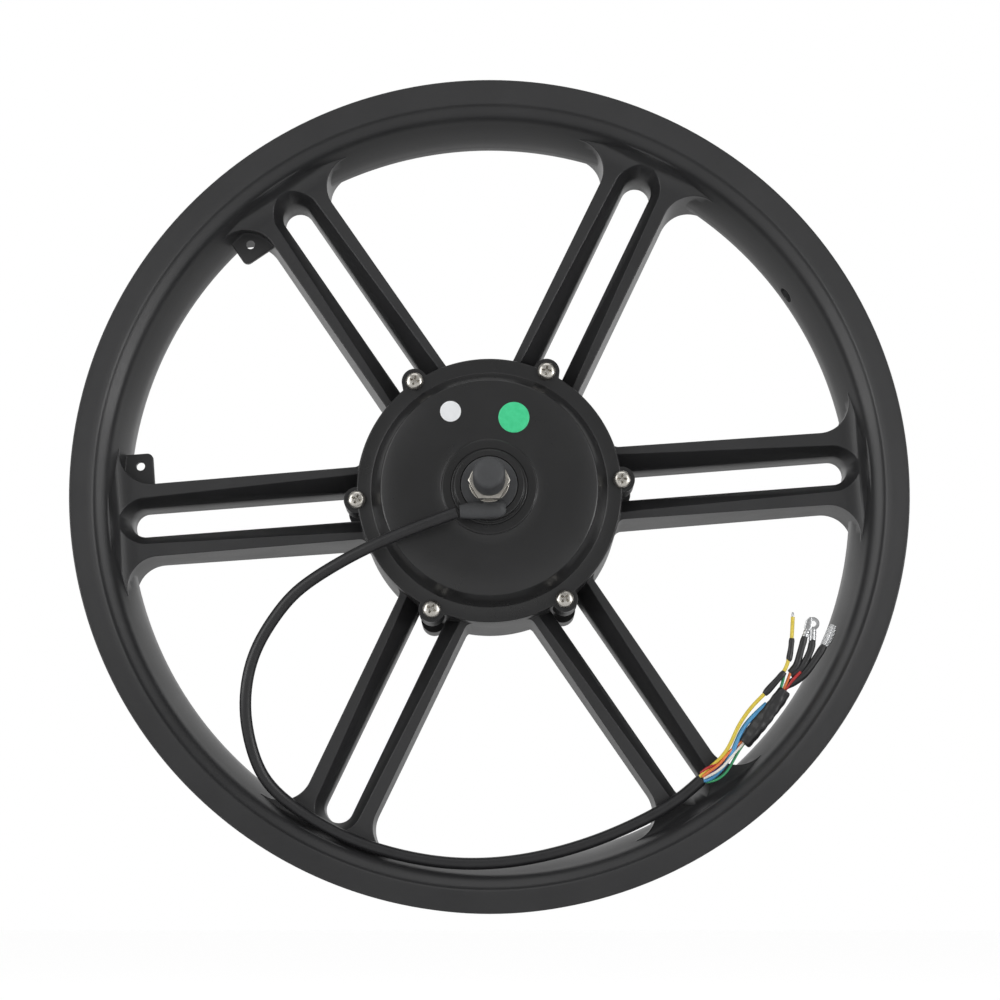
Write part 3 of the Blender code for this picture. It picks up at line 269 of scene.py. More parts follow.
def insulation(name, dark, light):
    """Extruded silicone or PVC wire insulation: saturated, smooth, lightly glossy."""
    return surface(name, dark, light, (0.3, 0.42), grain=0.4, relief=0.006, patch=4)


def materials():
    """Every finish on the wheel, by name."""
    return {
        # Satin polyester powder on cast aluminium: near black, a faint orange peel, soft highlights.
        "powder coat": surface("powder_coated_casting", "#202021", "#2a2a2b", (0.34, 0.44), grain=1.1,
                               relief=0.012, edge=1.0, patch=40),
        # Black paint over a turned cover: the lathe's rings still show as a fine sheen.
        "painted cover": surface("painted_turned_aluminium", "#1b1b1b", "#232324", (0.26, 0.34), grain=0.8,
                                 relief=0.004, edge=0.5, turned=0.9, patch=25),
        # Bright zinc on a steel screw: pale metal with a slightly clouded gloss.
        "zinc plate": surface("zinc_plated_steel", "#b9b5ad", "#dcd9d2", (0.2, 0.36), metallic=1, grain=0.5,
                              relief=0.004, edge=0.15, patch=2.5),
        # Nickel on a forged nut: darker than zinc, smooth and streaked.
        "nickel plate": surface("nickel_plated_steel", "#8f8c86", "#bcb8b0", (0.16, 0.3), metallic=1,
                                grain=0.6, relief=0.004, edge=0.25, patch=5),
        # Oiled turned steel of the axle: mid grey, with a soft uneven shine.
        "turned steel": surface("turned_axle_steel", "#6f6e6c", "#8f8e8b", (0.26, 0.4), metallic=1,
                                grain=0.5, relief=0.004, edge=0.15, patch=6),
        # Ground bearing steel, nearly a mirror.
        "ground steel": surface("ground_bearing_steel", "#a8a8a8", "#c4c4c4", (0.1, 0.2), metallic=1,
                                grain=0.4, relief=0.002, patch=6, turned=0.6),
        # Soft moulded rubber, matt, with a dusty bloom.
        "moulded rubber": surface("moulded_rubber", "#303132", "#454648", (0.5, 0.66), grain=0.5,
                                  relief=0.015, edge=0.5, patch=5, specular=0.45),
        # Extruded PVC jacket: black with an even low gloss.
        "cable jacket": surface("extruded_cable_jacket", "#161617", "#202022", (0.34, 0.48), grain=0.5,
                                relief=0.012, patch=7),
        # Shrunk polyolefin tube: duller than the jacket, wrinkled by what is inside it.
        "shrink tube": surface("shrunk_polyolefin_tube", "#1a1a1b", "#2b2b2c", (0.36, 0.52), grain=1.2,
                               relief=0.06, patch=3),
        # Stacked electrical steel with a blue-grey oxide.
        "laminations": surface("stacked_electrical_steel", "#4d5056", "#6a6d72", (0.35, 0.5), metallic=1,
                               grain=0.4, relief=0.01, patch=6),
        # Enamelled copper coils, lacquered to a warm brown.
        "enamelled copper": surface("enamelled_copper_wire", "#a2542c", "#c97a45", (0.25, 0.4),
                                    metallic=0.8, grain=0.7, relief=0.06, patch=3, coat=0.5),
        # Glass-fibre board under green solder resist: deep green with a plastic gloss.
        "circuit board": surface("solder_resist_board", "#10502a", "#1c6e3c", (0.28, 0.4), grain=0.4,
                                 relief=0.01, patch=4),
        # Unpainted machined aluminium: pale, with fine rings from the tool.
        "machined aluminium": surface("machined_aluminium", "#a9abae", "#c6c8ca", (0.28, 0.42),
                                      metallic=1, grain=0.5, relief=0.005, turned=0.5, patch=8),
        # Natural nylon gears, waxy and cream.
        "natural nylon": surface("moulded_natural_nylon", "#ddd8c6", "#ebe7d8", (0.35, 0.5), grain=0.6,
                                 relief=0.01, patch=6),
        # Paper-backed vinyl with a satin print: flat clean colour under a soft shine.
        "white vinyl": surface("white_vinyl_label", "#d9dbdd", "#e6e8e9", (0.35, 0.45), grain=0.4,
                               relief=0.004, patch=2.5),
        "green vinyl": surface("green_vinyl_label", "#27b878", "#4fd79b", (0.3, 0.42), grain=0.4,
                               relief=0.004, patch=3),
        # Tinned copper terminals: soft bright metal with crimp marks.
        "tinned copper": surface("tinned_copper_terminal", "#a9aaab", "#d4d5d6", (0.22, 0.4), metallic=1,
                                 grain=0.4, relief=0.03, patch=1.5),
    } | {f"{name} core": insulation(f"{name}_silicone_insulation", *colours)
         for name, colours in CORES.items()}


# ---- mesh building ----------------------------------------------------------------------------
def polar(radius, angle):
    """(x, z) of a point at a radius and an angle round the axle."""
    return (radius * math.cos(angle), radius * math.sin(angle))


def turned_by(points, angle):
    """(x, z) points turned round the axle."""
    c, s = math.cos(angle), math.sin(angle)
    return [(x * c - z * s, x * s + z * c) for x, z in points]


def arc(centre, radius, start, end, steps):
    """Points along an arc, both ends included."""
    angles = [start + (end - start) * i / steps for i in range(steps + 1)]
    return [(centre[0] + radius * math.cos(a), centre[1] + radius * math.sin(a)) for a in angles]


def circle(centre, radius, steps):
    """Points of a full circle."""
    return arc(centre, radius, 0, 2 * math.pi * (steps - 1) / steps, steps - 1)


def spline(points, per_span):
    """Points along a Catmull-Rom curve through the given ones."""
    p = [Vector(q) for q in points]
    p = [2 * p[0] - p[1]] + p + [2 * p[-1] - p[-2]]
    out = []
    for a, b, c, d in zip(p, p[1:], p[2:], p[3:]):
        for i in range(per_span):
            t = i / per_span
            out.append(0.5 * (2 * b + (c - a) * t + (2 * a - 5 * b + 4 * c - d) * t * t
                              + (3 * b - a - 3 * c + d) * t ** 3))
    return out + [p[-2]]


def smooth(mesh, angle=35):
    """Shade a mesh smooth but for edges sharper than an angle in degrees."""
    mesh.shade_smooth()
    mesh.set_sharp_from_angle(angle=math.radians(angle))


def linked(name, data):
    """A new object in the scene."""
    obj = bpy.data.objects.new(name, data)
    bpy.context.scene.collection.objects.link(obj)
    return obj


def finished(name, bm, angle=35):
    """Turn a bmesh into a shaded object with its faces outward."""
    bmesh.ops.recalc_face_normals(bm, faces=bm.faces)
    mesh = bpy.data.meshes.new(name)
    bm.to_mesh(mesh)
    bm.free()
    smooth(mesh, angle)
    return linked(name, mesh)


def lathe(name, profile, steps=ROUND_STEPS, closed=True, angle=35):
    """Turn (radius, y) points about the axle; an open outline starts and ends on the axis."""
    bm = bmesh.new()
    verts = [bm.verts.new((r, y, 0)) for r, y in profile]
    pairs = zip(verts, verts[1:] + verts[:1]) if closed else zip(verts, verts[1:])
    edges = [bm.edges.new(pair) for pair in pairs]
    bmesh.ops.spin(bm, geom=verts + edges, cent=(0, 0, 0), axis=AXIS, angle=2 * math.pi, steps=steps,
                   use_merge=True)
    bmesh.ops.remove_doubles(bm, verts=bm.verts, dist=1e-7)
    return finished(name, bm, angle)


def stack(name, layers, angle=35):
    """Skin layers of equal outlines, each a list of (x, y, z), into one solid."""
    bm = bmesh.new()
    loops = [[bm.verts.new(p) for p in layer] for layer in layers]
    count = len(loops[0])
    for low, high in zip(loops, loops[1:]):
        for i in range(count):
            bm.faces.new((low[i - 1], low[i], high[i], high[i - 1]))
    bm.faces.new(loops[0])
    bm.faces.new(loops[-1])
    return finished(name, bm, angle)


def prism(name, outline, front, back):
    """Extrude an outline of (x, z) points along Y."""
    return stack(name, [[(x, y, z) for x, z in outline] for y in (front, back)])


def applied(target):
    """Apply an object's modifiers to its mesh."""
    graph = bpy.context.evaluated_depsgraph_get()
    mesh = bpy.data.meshes.new_from_object(target.evaluated_get(graph))
    target.modifiers.clear()
    old, target.data = target.data, mesh
    bpy.data.meshes.remove(old)
    smooth(mesh)
    return target


def combine(target, tool, operation):
    """Join, cut or trim a piece with another, which is used up."""
    modifier = target.modifiers.new("combine", "BOOLEAN")
    modifier.operation = operation
    modifier.solver = "EXACT"
    modifier.object = tool
    applied(target)
    bpy.data.objects.remove(tool)
    return target


def rounded(target, radius):
    """Round an object's sharp edges in its mesh."""
    modifier = target.modifiers.new("round", "BEVEL")
    modifier.width = radius
    modifier.segments = 3
    modifier.limit_method = "ANGLE"
    modifier.angle_limit = math.radians(40)
    modifier.harden_normals = False
    return applied(target)


def place(obj, body, material, slot, *nodes):
    """Give a piece its finish, its body and the frame's nodes that it stands for."""
    obj.data.materials.clear()
    obj.data.materials.append(material)
    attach(obj, body)
    if nodes:
        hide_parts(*nodes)
    return obj


# ---- casting ----------------------------------------------------------------------------------
def spoke_angles():
    """Angles of the six spokes' middles."""
    return [SPOKE_START + math.pi / 3 * k for k in range(6)]


def rim_profile():
    """Section of the rim as (radius, y): tyre side, flange, then the hollow side facing the hub."""
    tyre_side = [(190.5, 4), (190.5, 12.8), (191.2, 15), (194.2, 21), (195.4, 23.2), (197.5, 24.4),
                 (201.6, 24.8), (202.8, 25.6), (203, 27), (203.2, 32.6), (203.7, 34.2), (205, 35.1),
                 (208.4, 35.6), (209.4, 36), (209.9, 36.8)]
    lip = [(210, 37.8), (210, 39.1), (209.8, 39.6), (209.3, 39.8), (208.6, 39.6)]
    face = [(206, 38.7), (202, 37.4), (199.2, 36.45), (198.5, 36.1), (198.0, 35.5)]
    barrel = [(q.x, q.y) for q in spline([(197.4, 34.7, 0), (192.6, 31, 0), (189.8, 25, 0), (186.6, 16, 0),
                                         (184.6, 8, 0), (184, 0, 0)], 6)][:-1]
    half = [(r * MM, y * MM) for r, y in tyre_side + lip + face + barrel]
    return half + [(184 * MM, 0)] + [(r, -y) for r, y in reversed(half)]


def half_depth(u):
    """From the centre plane to a spoke's face, at distance u from the axle."""
    share = (u - SHELL_BORE) / (SEAT_RADIUS - SHELL_BORE)
    return SPOKE_HALF_DEPTHS[0] + (SPOKE_HALF_DEPTHS[1] - SPOKE_HALF_DEPTHS[0]) * share


def spoke_outline():
    """Plan of one spoke along +X with its wide fillets into the rim and small ones into the shell."""
    root = SPOKE_HALF_WIDTH + RIM_FILLET
    centre = (math.sqrt((FLARE_RADIUS - RIM_FILLET) ** 2 - root ** 2), root)
    tangent = math.atan2(centre[1], centre[0])
    flare = arc(centre, RIM_FILLET, -math.pi / 2, tangent, 22)
    hub_root = SPOKE_HALF_WIDTH + HUB_FILLET
    hub_centre = (math.sqrt((SHELL_RADIUS + HUB_FILLET) ** 2 - hub_root ** 2), hub_root)
    hub_tangent = math.atan2(hub_centre[1], hub_centre[0])
    upper = arc(hub_centre, HUB_FILLET, math.pi + hub_tangent, 1.5 * math.pi, 8) + flare
    outer = arc((0, 0), SPOKE_ENDS[1], tangent, -tangent, 24)
    inner = arc((0, 0), SPOKE_ENDS[0], -hub_tangent, hub_tangent, 12)
    return upper + outer + [(x, -z) for x, z in reversed(upper)] + inner


def spoke_side():
    """Side view of one spoke as (x, y): it sweeps up into the rim at its outer end."""
    near = SPOKE_ENDS[0] - 5 * MM
    edge = [(near, half_depth(near))]
    for i in range(17):
        turn = math.pi / 2 * i / 16
        climb = SWEEP_RISE * (1 - math.cos(turn))
        edge.append((SWEEP_START + SWEEP_RUN * math.sin(turn), half_depth(SWEEP_START) + climb))
    edge.append((SPOKE_ENDS[1] + 5 * MM, edge[-1][1] + 3 * MM))
    return [(x, -y) for x, y in edge] + [(x, y) for x, y in reversed(edge)]


def slot_outline(grow):
    """Plan of a spoke's slot, widened by grow, with its round end near the rim."""
    radius = SLOT_HALF_WIDTH + grow
    centre = (SLOT_END - SLOT_HALF_WIDTH, 0)
    inner = SHELL_BORE - 9 * MM
    return [(inner, -radius)] + arc(centre, radius, -math.pi / 2, math.pi / 2, 36) + [(inner, radius)]


def spoke():
    """One slotted spoke along +X, cut back where the tyre's space is."""
    deep = 40 * MM
    body = prism("spoke", spoke_outline(), -deep, deep)
    wide = 70 * MM
    combine(body, stack("side", [[(x, y, z) for x, y in spoke_side()] for z in (-wide, wide)]), "INTERSECT")
    face = SPOKE_HALF_DEPTHS[0] + 4 * MM
    grow = (face - SLOT_LAND) * SLOT_OPENING
    layers = ((-face, grow), (-SLOT_LAND, 0), (SLOT_LAND, 0), (face, grow))
    combine(body, stack("slot", [[(x, y, z) for x, z in slot_outline(g)] for y, g in layers]), "DIFFERENCE")
    bottom, well = DROP_WELL
    clear = 230 * MM
    tyre_space = [(bottom, -well), (clear, -well), (clear, well), (bottom, well)]
    return combine(body, lathe("tyre_space", tyre_space), "DIFFERENCE")


def six(source, name):
    """One mesh of six copies of a piece, turned to the spokes' angles; the piece is used up."""
    bm = bmesh.new()
    for angle in spoke_angles():
        copy = source.data.copy()
        copy.transform(Matrix.Rotation(-angle, 4, AXIS))
        bm.from_mesh(copy)
        bpy.data.meshes.remove(copy)
    bpy.data.objects.remove(source)
    return finished(name, bm)


def ears(front, back):
    """Round screw lugs, as one mesh."""
    return six(prism("ear", circle((SHELL_RADIUS, 0), EAR_RADIUS, 48), front, back), "ears")


def reflector_tab(index, side, hole_u, hole_v):
    """Flat lug in the corner between a spoke's root and the barrel."""
    corner = 3 * MM
    free = arc((172 * MM, 32.5 * MM), corner, math.pi, math.pi / 2, 10)
    outline = [(187 * MM, 17 * MM), (169 * MM, 17 * MM)] + free + [(187 * MM, 35.5 * MM)]
    angle = spoke_angles()[index]
    tab = prism("tab", turned_by([(u, side * v) for u, v in outline], angle), *TAB_FACES)
    rounded(tab, 0.5 * MM)
    hole = turned_by(circle((hole_u, side * hole_v), TAB_HOLE, 32), angle)
    return combine(tab, prism("hole", hole, -20 * MM, 0), "DIFFERENCE")


def casting(finish):
    """Rim, spokes and hub shell, cast in one and coated in one."""
    edge = 0.5 * MM
    shell = lathe("shell", [(SHELL_BORE, -SHELL_HALF_WIDTH), (SHELL_RADIUS - edge, -SHELL_HALF_WIDTH),
                            (SHELL_RADIUS, -SHELL_HALF_WIDTH + edge), (SHELL_RADIUS, SHELL_HALF_WIDTH - edge),
                            (SHELL_RADIUS - edge, SHELL_HALF_WIDTH), (SHELL_BORE, SHELL_HALF_WIDTH)])
    combine(shell, six(spoke(), "spokes"), "UNION")
    combine(shell, ears(-SHELL_HALF_WIDTH, -SHELL_HALF_WIDTH + EAR_LENGTH), "UNION")
    combine(shell, ears(SHELL_HALF_WIDTH - EAR_LENGTH, SHELL_HALF_WIDTH), "UNION")
    body = lathe("cast_wheel", rim_profile(), RIM_STEPS)
    combine(body, shell, "UNION")
    for tab in TABS:
        combine(body, reflector_tab(*tab), "UNION")
    valve = prism("valve", circle((0, 0), VALVE_RADIUS, 40), -12 * MM, 12 * MM)
    aim = Vector((math.cos(VALVE_ANGLE), 0, math.sin(VALVE_ANGLE)))
    valve.data.transform(AXIS.rotation_difference(aim).to_matrix().to_4x4())
    valve.data.transform(Matrix.Translation(aim * 187 * MM + AXIS * VALVE_Y))
    combine(body, valve, "DIFFERENCE")
    return place(body, "wheel", finish, "black_paint", "wheel_casting")


# ---- covers -----------------------------------------------------------------------------------
def drive_cover(finish):
    """Freewheel side cover: flange, sloping step, flat face, freewheel seat and thread."""
    back = SHELL_HALF_WIDTH + CLEARANCE
    profile = [(14.3, -60.7), (17, -60.7), (17.4, -60.3), (17.4, -52.7), (18.6, -52.7), (18.9, -52.4),
               (19.2, -52.7), (23.3, -52.7), (23.8, -52.2), (23.9, -51.2), (24.3, -51), (30, -51), (40, -51),
               (53.4, -51), (54, -50.7), (54.3, -50.2), (58.7, -40.9), (59, -40.4), (59.5, -40.2),
               (65.8, -40.2), (66.2, -39.9), (66.4, -39.5), (66.4, -back / MM), (58.7, -back / MM),
               (58.7, -32.3), (55.3, -32.3), (50.4, -47.2), (12.5, -47.2), (12.5, -52.2), (14.3, -52.2)]
    body = lathe("turned_drive_cover", [(r * MM, y * MM) for r, y in profile], angle=28)
    combine(body, ears(-COVER_FACE, -back), "UNION")
    return place(body, "wheel", finish, "black_paint", "drive_side_cover")


def threaded(name, radius, pitch, depth, front, back, steps, flat=None):
    """Outside of a screw thread; flat is the half distance across two milled flats."""
    rows = math.ceil((back - front) / pitch * 6)
    bm = bmesh.new()
    loops = []
    for i in range(rows + 1):
        y = front + (back - front) * i / rows
        fade = min(1, (y - front) / pitch, (back - y) / pitch)
        loop = []
        for k in range(steps):
            turn = (y / pitch - k / steps) % 1
            r = radius - depth * (abs(2 * turn - 1) * fade + (1 - fade))
            x, z = polar(r, 2 * math.pi * k / steps)
            loop.append(bm.verts.new((max(-flat, min(flat, x)) if flat else x, y, z)))
        loops.append(loop)
    for low, high in zip(loops, loops[1:]):
        for k in range(steps):
            bm.faces.new((low[k - 1], low[k], high[k], high[k - 1]))
    bm.faces.new(loops[0])
    bm.faces.new(loops[-1])
    return finished(name, bm, 24)


def freewheel_thread(finish):
    """The screw thread cut round the cover's boss."""
    root = 16.6 * MM
    tool = lathe("inside", [(0, -70 * MM), (root, -70 * MM), (root, -40 * MM), (0, -40 * MM)], closed=False)
    body = threaded("freewheel_thread", THREAD_RADIUS, THREAD_PITCH, THREAD_DEPTH, -60.5 * MM, -53.2 * MM,
                    120)
    return place(combine(body, tool, "DIFFERENCE"), "wheel", finish, "black_paint")


def brake_cover(finish):
    """Brake side cover with the disc's seat and its six tapped holes."""
    back = SHELL_HALF_WIDTH + CLEARANCE
    profile = [(14.3, 52.2), (28.4, 52.2), (28.9, 51.9), (29.1, 51.4), (30.4, 46.6), (31, 46.1), (31.8, 46),
               (48.9, 46), (49.8, 45.7), (50.5, 45.2), (56.8, 40.5), (57.4, 40.1), (58.2, 40), (65.6, 40),
               (66.2, 39.8), (66.4, 39.3), (66.4, back / MM), (58.7, back / MM), (58.7, 32.3), (55.3, 32.3),
               (46.2, 42.2), (32, 42.2), (29, 38.9), (16.3, 38.9), (16.3, 50.7), (14.3, 50.7)]
    body = lathe("turned_brake_cover", [(r * MM, y * MM) for r, y in profile], angle=28)
    combine(body, ears(back, COVER_FACE), "UNION")
    holes = six(prism("hole", circle((22 * MM, 0), 2.1 * MM, 28), 42.7 * MM, 60 * MM), "holes")
    combine(body, holes, "DIFFERENCE")
    return place(body, "wheel", finish, "black_paint", "brake_side_cover")


def screw_mesh():
    """Pan head screw with a cross recess, its head towards -Y and its seat at the origin."""
    dome = [(0, -3.25), (1.6, -3.2), (2.8, -3.0), (3.6, -2.6), (4.15, -2.0), (4.42, -1.3), (4.5, -0.5),
            (4.4, -0.12), (4.2, 0), (2, 0), (2, 13.6), (1.6, 14), (0, 14)]
    body = lathe("pan_head", [(r * MM, y * MM) for r, y in dome], 48, closed=False, angle=40)
    for turn in (math.radians(22), math.radians(112)):
        layers = []
        for y, long, wide in ((-4, 2.75, 0.62), (-2.6, 2.2, 0.5), (-1.1, 1.0, 0.36)):
            corners = [(-long, -wide), (long, -wide), (long, wide), (-long, wide)]
            layers.append([(x * MM, y * MM, z * MM) for x, z in turned_by(corners, turn)])
        combine(body, stack("cross", layers), "DIFFERENCE")
    mesh = body.data.copy()
    bpy.data.objects.remove(body)
    return mesh


def screws(finish):
    """Six pan head screws for each cover, each turned to its own angle."""
    drive = screw_mesh()
    drive.materials.append(finish)
    seat = COVER_FACE + CLEARANCE
    for k, angle in enumerate(spoke_angles()):
        x, z = polar(SHELL_RADIUS, angle)
        for side, face, flip in (("drive", -seat, 0), ("brake", seat, math.pi)):
            screw = linked(f"{side}_pan_head_{k + 1}", drive)
            turn = Matrix.Rotation(flip, 4, "X") @ Matrix.Rotation(1.7 * k + 0.4, 4, AXIS)
            screw.matrix_world = Matrix.Translation((x, face, z)) @ turn
            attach(screw, "wheel")
            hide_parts(f"{side}_cover_screw_{k + 1}")


def sticker(name, node, finish, slot):
    """Thin blank label with a softened rim, in the place of the frame's disc."""
    low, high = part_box(node)
    middle = (low + high) / 2
    radius = (high.x - low.x) / 2
    lay = high.y + 0.28 * MM
    profile = [(0, lay), (radius, lay), (radius, lay - 0.12 * MM), (radius - 0.12 * MM, lay - 0.2 * MM),
               (radius * 0.9, lay - 0.22 * MM), (0, lay - 0.22 * MM)]
    body = lathe(name, profile, 72, closed=False)
    body.data.transform(Matrix.Translation((middle.x, 0, middle.z)))
    return place(body, "wheel", finish, slot, node)


# ---- axle -------------------------------------------------------------------------------------
def axle(finish):
    """Journal, shoulders and the two threaded ends with their flats."""
    profile = [(0, -67.5), (4.9, -67.5), (7.2, -67.5), (7.5, -67.1), (7.5, -52.2), (8.5, -52.2), (8.5, -1),
               (7.5, -1), (7.5, 67.1), (7.2, 67.5), (4.9, 67.5), (0, 67.5)]
    body = lathe("axle_journal", [(r * MM, y * MM) for r, y in profile], AXLE_STEPS, closed=False)
    window = prism("window", [(-3.2 * MM, -12 * MM), (3.2 * MM, -12 * MM), (3.2 * MM, -1.6 * MM),
                              (-3.2 * MM, -1.6 * MM)], -67 * MM, -61.2 * MM)
    combine(body, window, "DIFFERENCE")
    place(body, "axle_assembly", finish, "steel", "axle")
    for name, front, back in (("drive", -102 * MM, -67.4 * MM), ("brake", 67.4 * MM, 105 * MM)):
        thread = threaded(f"{name}_axle_thread", AXLE_RADIUS, AXLE_THREAD_PITCH, AXLE_THREAD_DEPTH, front,
                          back, 60, AXLE_FLAT)
        place(thread, "axle_assembly", finish, "steel")


def nut(side, outward, finish):
    """Hexagon nut with its corners turned off at both faces."""
    low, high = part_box(f"{side}_axle_nut")
    near, far = (high.y, low.y) if outward < 0 else (low.y, high.y)
    corner = 18 * MM / math.sqrt(3)
    body = prism(f"{side}_hexagon_nut", circle((0, 0), corner, 6), min(near, far), max(near, far))
    bore = 6.15 * MM
    inset = outward * 1 * MM
    outside = corner + 1 * MM
    blank = [(bore, near - inset), (9.2 * MM, near - inset), (9.6 * MM, near),
             (outside, near + 0.7 * inset), (outside, far - 0.9 * inset), (9 * MM, far),
             (8.6 * MM, far + 0.2 * inset), (bore + 0.7 * MM, far), (bore, far - 0.7 * inset)]
    combine(body, lathe("blank", blank), "INTERSECT")
    return place(body, "axle_assembly", finish, "nickel", f"{side}_axle_nut")


def washer(side, finish):
    """Flat washer with its edges broken."""
    low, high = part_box(f"{side}_washer")
    edge = 0.3 * MM
    inner, outer = 6.3 * MM, high.x
    profile = [(inner, low.y + edge), (inner + edge, low.y), (outer - edge, low.y), (outer, low.y + edge),
               (outer, high.y - edge), (outer - edge, high.y), (inner + edge, high.y), (inner, high.y - edge)]
    ring = lathe(f"{side}_flat_washer", profile, AXLE_STEPS)
    return place(ring, "axle_assembly", finish, "nickel", f"{side}_washer")


def sleeve(finish):
    """Soft moulded cap over the drive end of the axle, closed and a little domed at its tip."""
    profile = [(0, -105), (3.5, -104.95), (5.8, -104.7), (7, -104.1), (7.6, -103.2), (7.8, -101.8),
               (7.85, -95), (7.95, -84), (8, -79), (7.95, -78), (7.6, -77.5), (6.4, -77.5), (6.3, -78),
               (6.3, -102.3), (0, -102.3)]
    body = lathe("axle_end_cap", [(r * MM, y * MM) for r, y in profile], AXLE_STEPS, closed=False)
    return place(body, "axle_assembly", finish, "rubber", "axle_sleeve")


def spacer(finish):
    """Turned spacer on the brake side, its outer edges broken."""
    low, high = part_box("brake_spacer")
    edge = 0.4 * MM
    inner, outer = 7.6 * MM, high.x
    profile = [(inner, low.y), (outer - edge, low.y), (outer, low.y + edge), (outer, high.y - edge),
               (outer - edge, high.y), (inner, high.y)]
    ring = lathe("turned_spacer", profile, AXLE_STEPS)
    return place(ring, "axle_assembly", finish, "steel", "brake_spacer")


# ---- cable ------------------------------------------------------------------------------------
def boot(finish):
    """Moulded elbow at the axle's window: a thick oval heel that narrows onto the cable."""
    start, end = Vector((8.3, -64.1, -12.2)) * MM, Vector((-14.7, -64.1, -14.0)) * MM
    along = end - start
    turn = Matrix.Rotation(math.atan2(along.x, along.z), 4, AXIS)
    half_tall, half_deep = 4.4 * MM, 3 * MM
    # How far along in millimetres, and the shares of the full height and depth there.
    shape = ((0, 0.35, 0.3), (0.6, 0.66, 0.6), (1.7, 0.86, 0.85), (3.4, 0.97, 0.98), (6, 1.0, 1.0),
             (10, 1.0, 1.0), (14, 0.97, 0.99), (17.5, 0.9, 0.97), (20.2, 0.83, 1.0), (21.8, 0.77, 1.0),
             (22.8, 0.71, 1.0))
    layers = []
    for offset, tall, deep in shape:
        here = Matrix.Translation(start) @ turn @ Matrix.Translation((0, 0, offset * MM))
        layers.append([here @ Vector((a * tall * half_tall, b * deep * half_deep, 0))
                       for a, b in circle((0, 0), 1, 40)])
    body = stack("moulded_elbow", layers, 60)
    wide, low, high = 2.9 * MM, -12.2 * MM, -4.2 * MM
    neck = [(-wide, low), (wide, low), (wide, high), (-wide, high)]
    combine(body, rounded(prism("neck", neck, -66.7 * MM, -61.5 * MM), 0.8 * MM), "UNION")
    return place(body, "axle_assembly", finish, "rubber", "cable_boot")


def smooth_route(points, spacing):
    """Evenly spaced points on a curve through the given ones, eased so that it bends without corners."""
    fine = spline([Vector(p) * MM for p in points], 12)
    total = sum((b - a).length for a, b in zip(fine, fine[1:]))
    count = max(8, round(total / spacing))
    out, gone, i = [fine[0]], 0, 0
    for k in range(1, count):
        want = total * k / count
        while gone + (fine[i + 1] - fine[i]).length < want:
            gone += (fine[i + 1] - fine[i]).length
            i += 1
        out.append(fine[i].lerp(fine[i + 1], (want - gone) / (fine[i + 1] - fine[i]).length))
    out.append(fine[-1])
    for _ in range(EASING):
        out[1:-1] = [(a + 2 * b + c) / 4 for a, b, c in zip(out, out[1:], out[2:])]
    return out


def cord_curve(name, points, diameter, finish, slot, far_end, stiffness, *nodes):
    """Round cord along a smooth route, as one open curve."""
    curve = bpy.data.curves.new(name, "CURVE")
    curve.dimensions = "3D"
    curve.bevel_depth = diameter / 2
    curve.bevel_resolution = 4
    curve.use_fill_caps = True
    route = smooth_route(points, max(1.2 * MM, diameter * 0.55))
    line = curve.splines.new("POLY")
    line.points.add(len(route) - 1)
    for point, spot in zip(line.points, route):
        point.co = (*spot, 1)
    line.use_smooth = True
    obj = linked(name, curve)
    obj.data.materials.append(finish)
    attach(obj, "axle_assembly")
    if nodes:
        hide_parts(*nodes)
    return obj


def sweep(name, points, section, sides=28, spacing=0.5 * MM):
    """Tube along a route; section gives (across, in depth) radii for a share of the way and an angle."""
    route = smooth_route(points, spacing)
    side = AXIS
    loops = []
    for i, spot in enumerate(route):
        along = (route[min(i + 1, len(route) - 1)] - route[max(i - 1, 0)]).normalized()
        side = (side - along * side.dot(along)).normalized()
        across = along.cross(side)
        loop = []
        for k in range(sides):
            a = 2 * math.pi * k / sides
            wide, deep = section(i / (len(route) - 1), a)
            loop.append(spot + across * math.cos(a) * wide * MM + side * math.sin(a) * deep * MM)
        loops.append(loop)
    return stack(name, loops, 50)


def motor_cable(m):
    """The jacketed cable, from the elbow round the inside of the rim."""
    cord_curve("jacketed_cable", CABLE_POINTS, CABLE_DIAMETER, m["cable jacket"], "cable_jacket", "object",
               "stiff", "motor_cable")


def wires(m):
    """The cable's cores fan out of the jacket and gather again in a shrunk sleeve."""
    for name, (points, diameter, slot, end, nodes) in WIRES.items():
        cord_curve(f"{name}_core", points, diameter * MM, m[f"{name} core"], slot, end, "limp", *nodes)


def swollen(t, a):
    """Radii of the shrunk sleeve: ridges of the cores inside, ends drawn in."""
    ridge = 0.32 * math.sin(3 * a + 5 * t) + 0.18 * math.sin(5 * a - 9 * t) + 0.1 * math.sin(40 * t)
    ends = 0.72 + 0.28 * math.sin(math.pi * min(1, max(0, t)) ** 0.8) ** 0.35
    return (3.9 + ridge) * ends, (3.6 + ridge) * ends


def sleeves(m):
    """Shrunk sleeves over the joints of the cores and over each end's splice."""
    body = sweep("shrunk_sleeve", SHRINK_POINTS, swollen)
    place(body, "axle_assembly", m["shrink tube"], "cable_jacket", "heat_shrink_sleeve")
    for name, points, radius in SLEEVES:
        def section(t, a, r=radius):
            ends = 1 - 0.22 * max(0, 1 - t / 0.12) - 0.22 * max(0, 1 - (1 - t) / 0.12)
            lump = 0.06 * math.sin(2 * a + 7 * t)
            return r * (ends + lump), r * (ends - lump)
        place(sweep(name, points, section, 20), "axle_assembly", m["shrink tube"], "cable_jacket")


def short_cores(m):
    """Short lengths of core between the shrunk sleeve and the end sleeves."""
    for name, points in TAILS.items():
        body = sweep(f"{name}_tail", points, lambda t, a: (TAIL_RADIUS, TAIL_RADIUS), 16)
        place(body, "axle_assembly", m[f"{name} core"], "blue_wires")


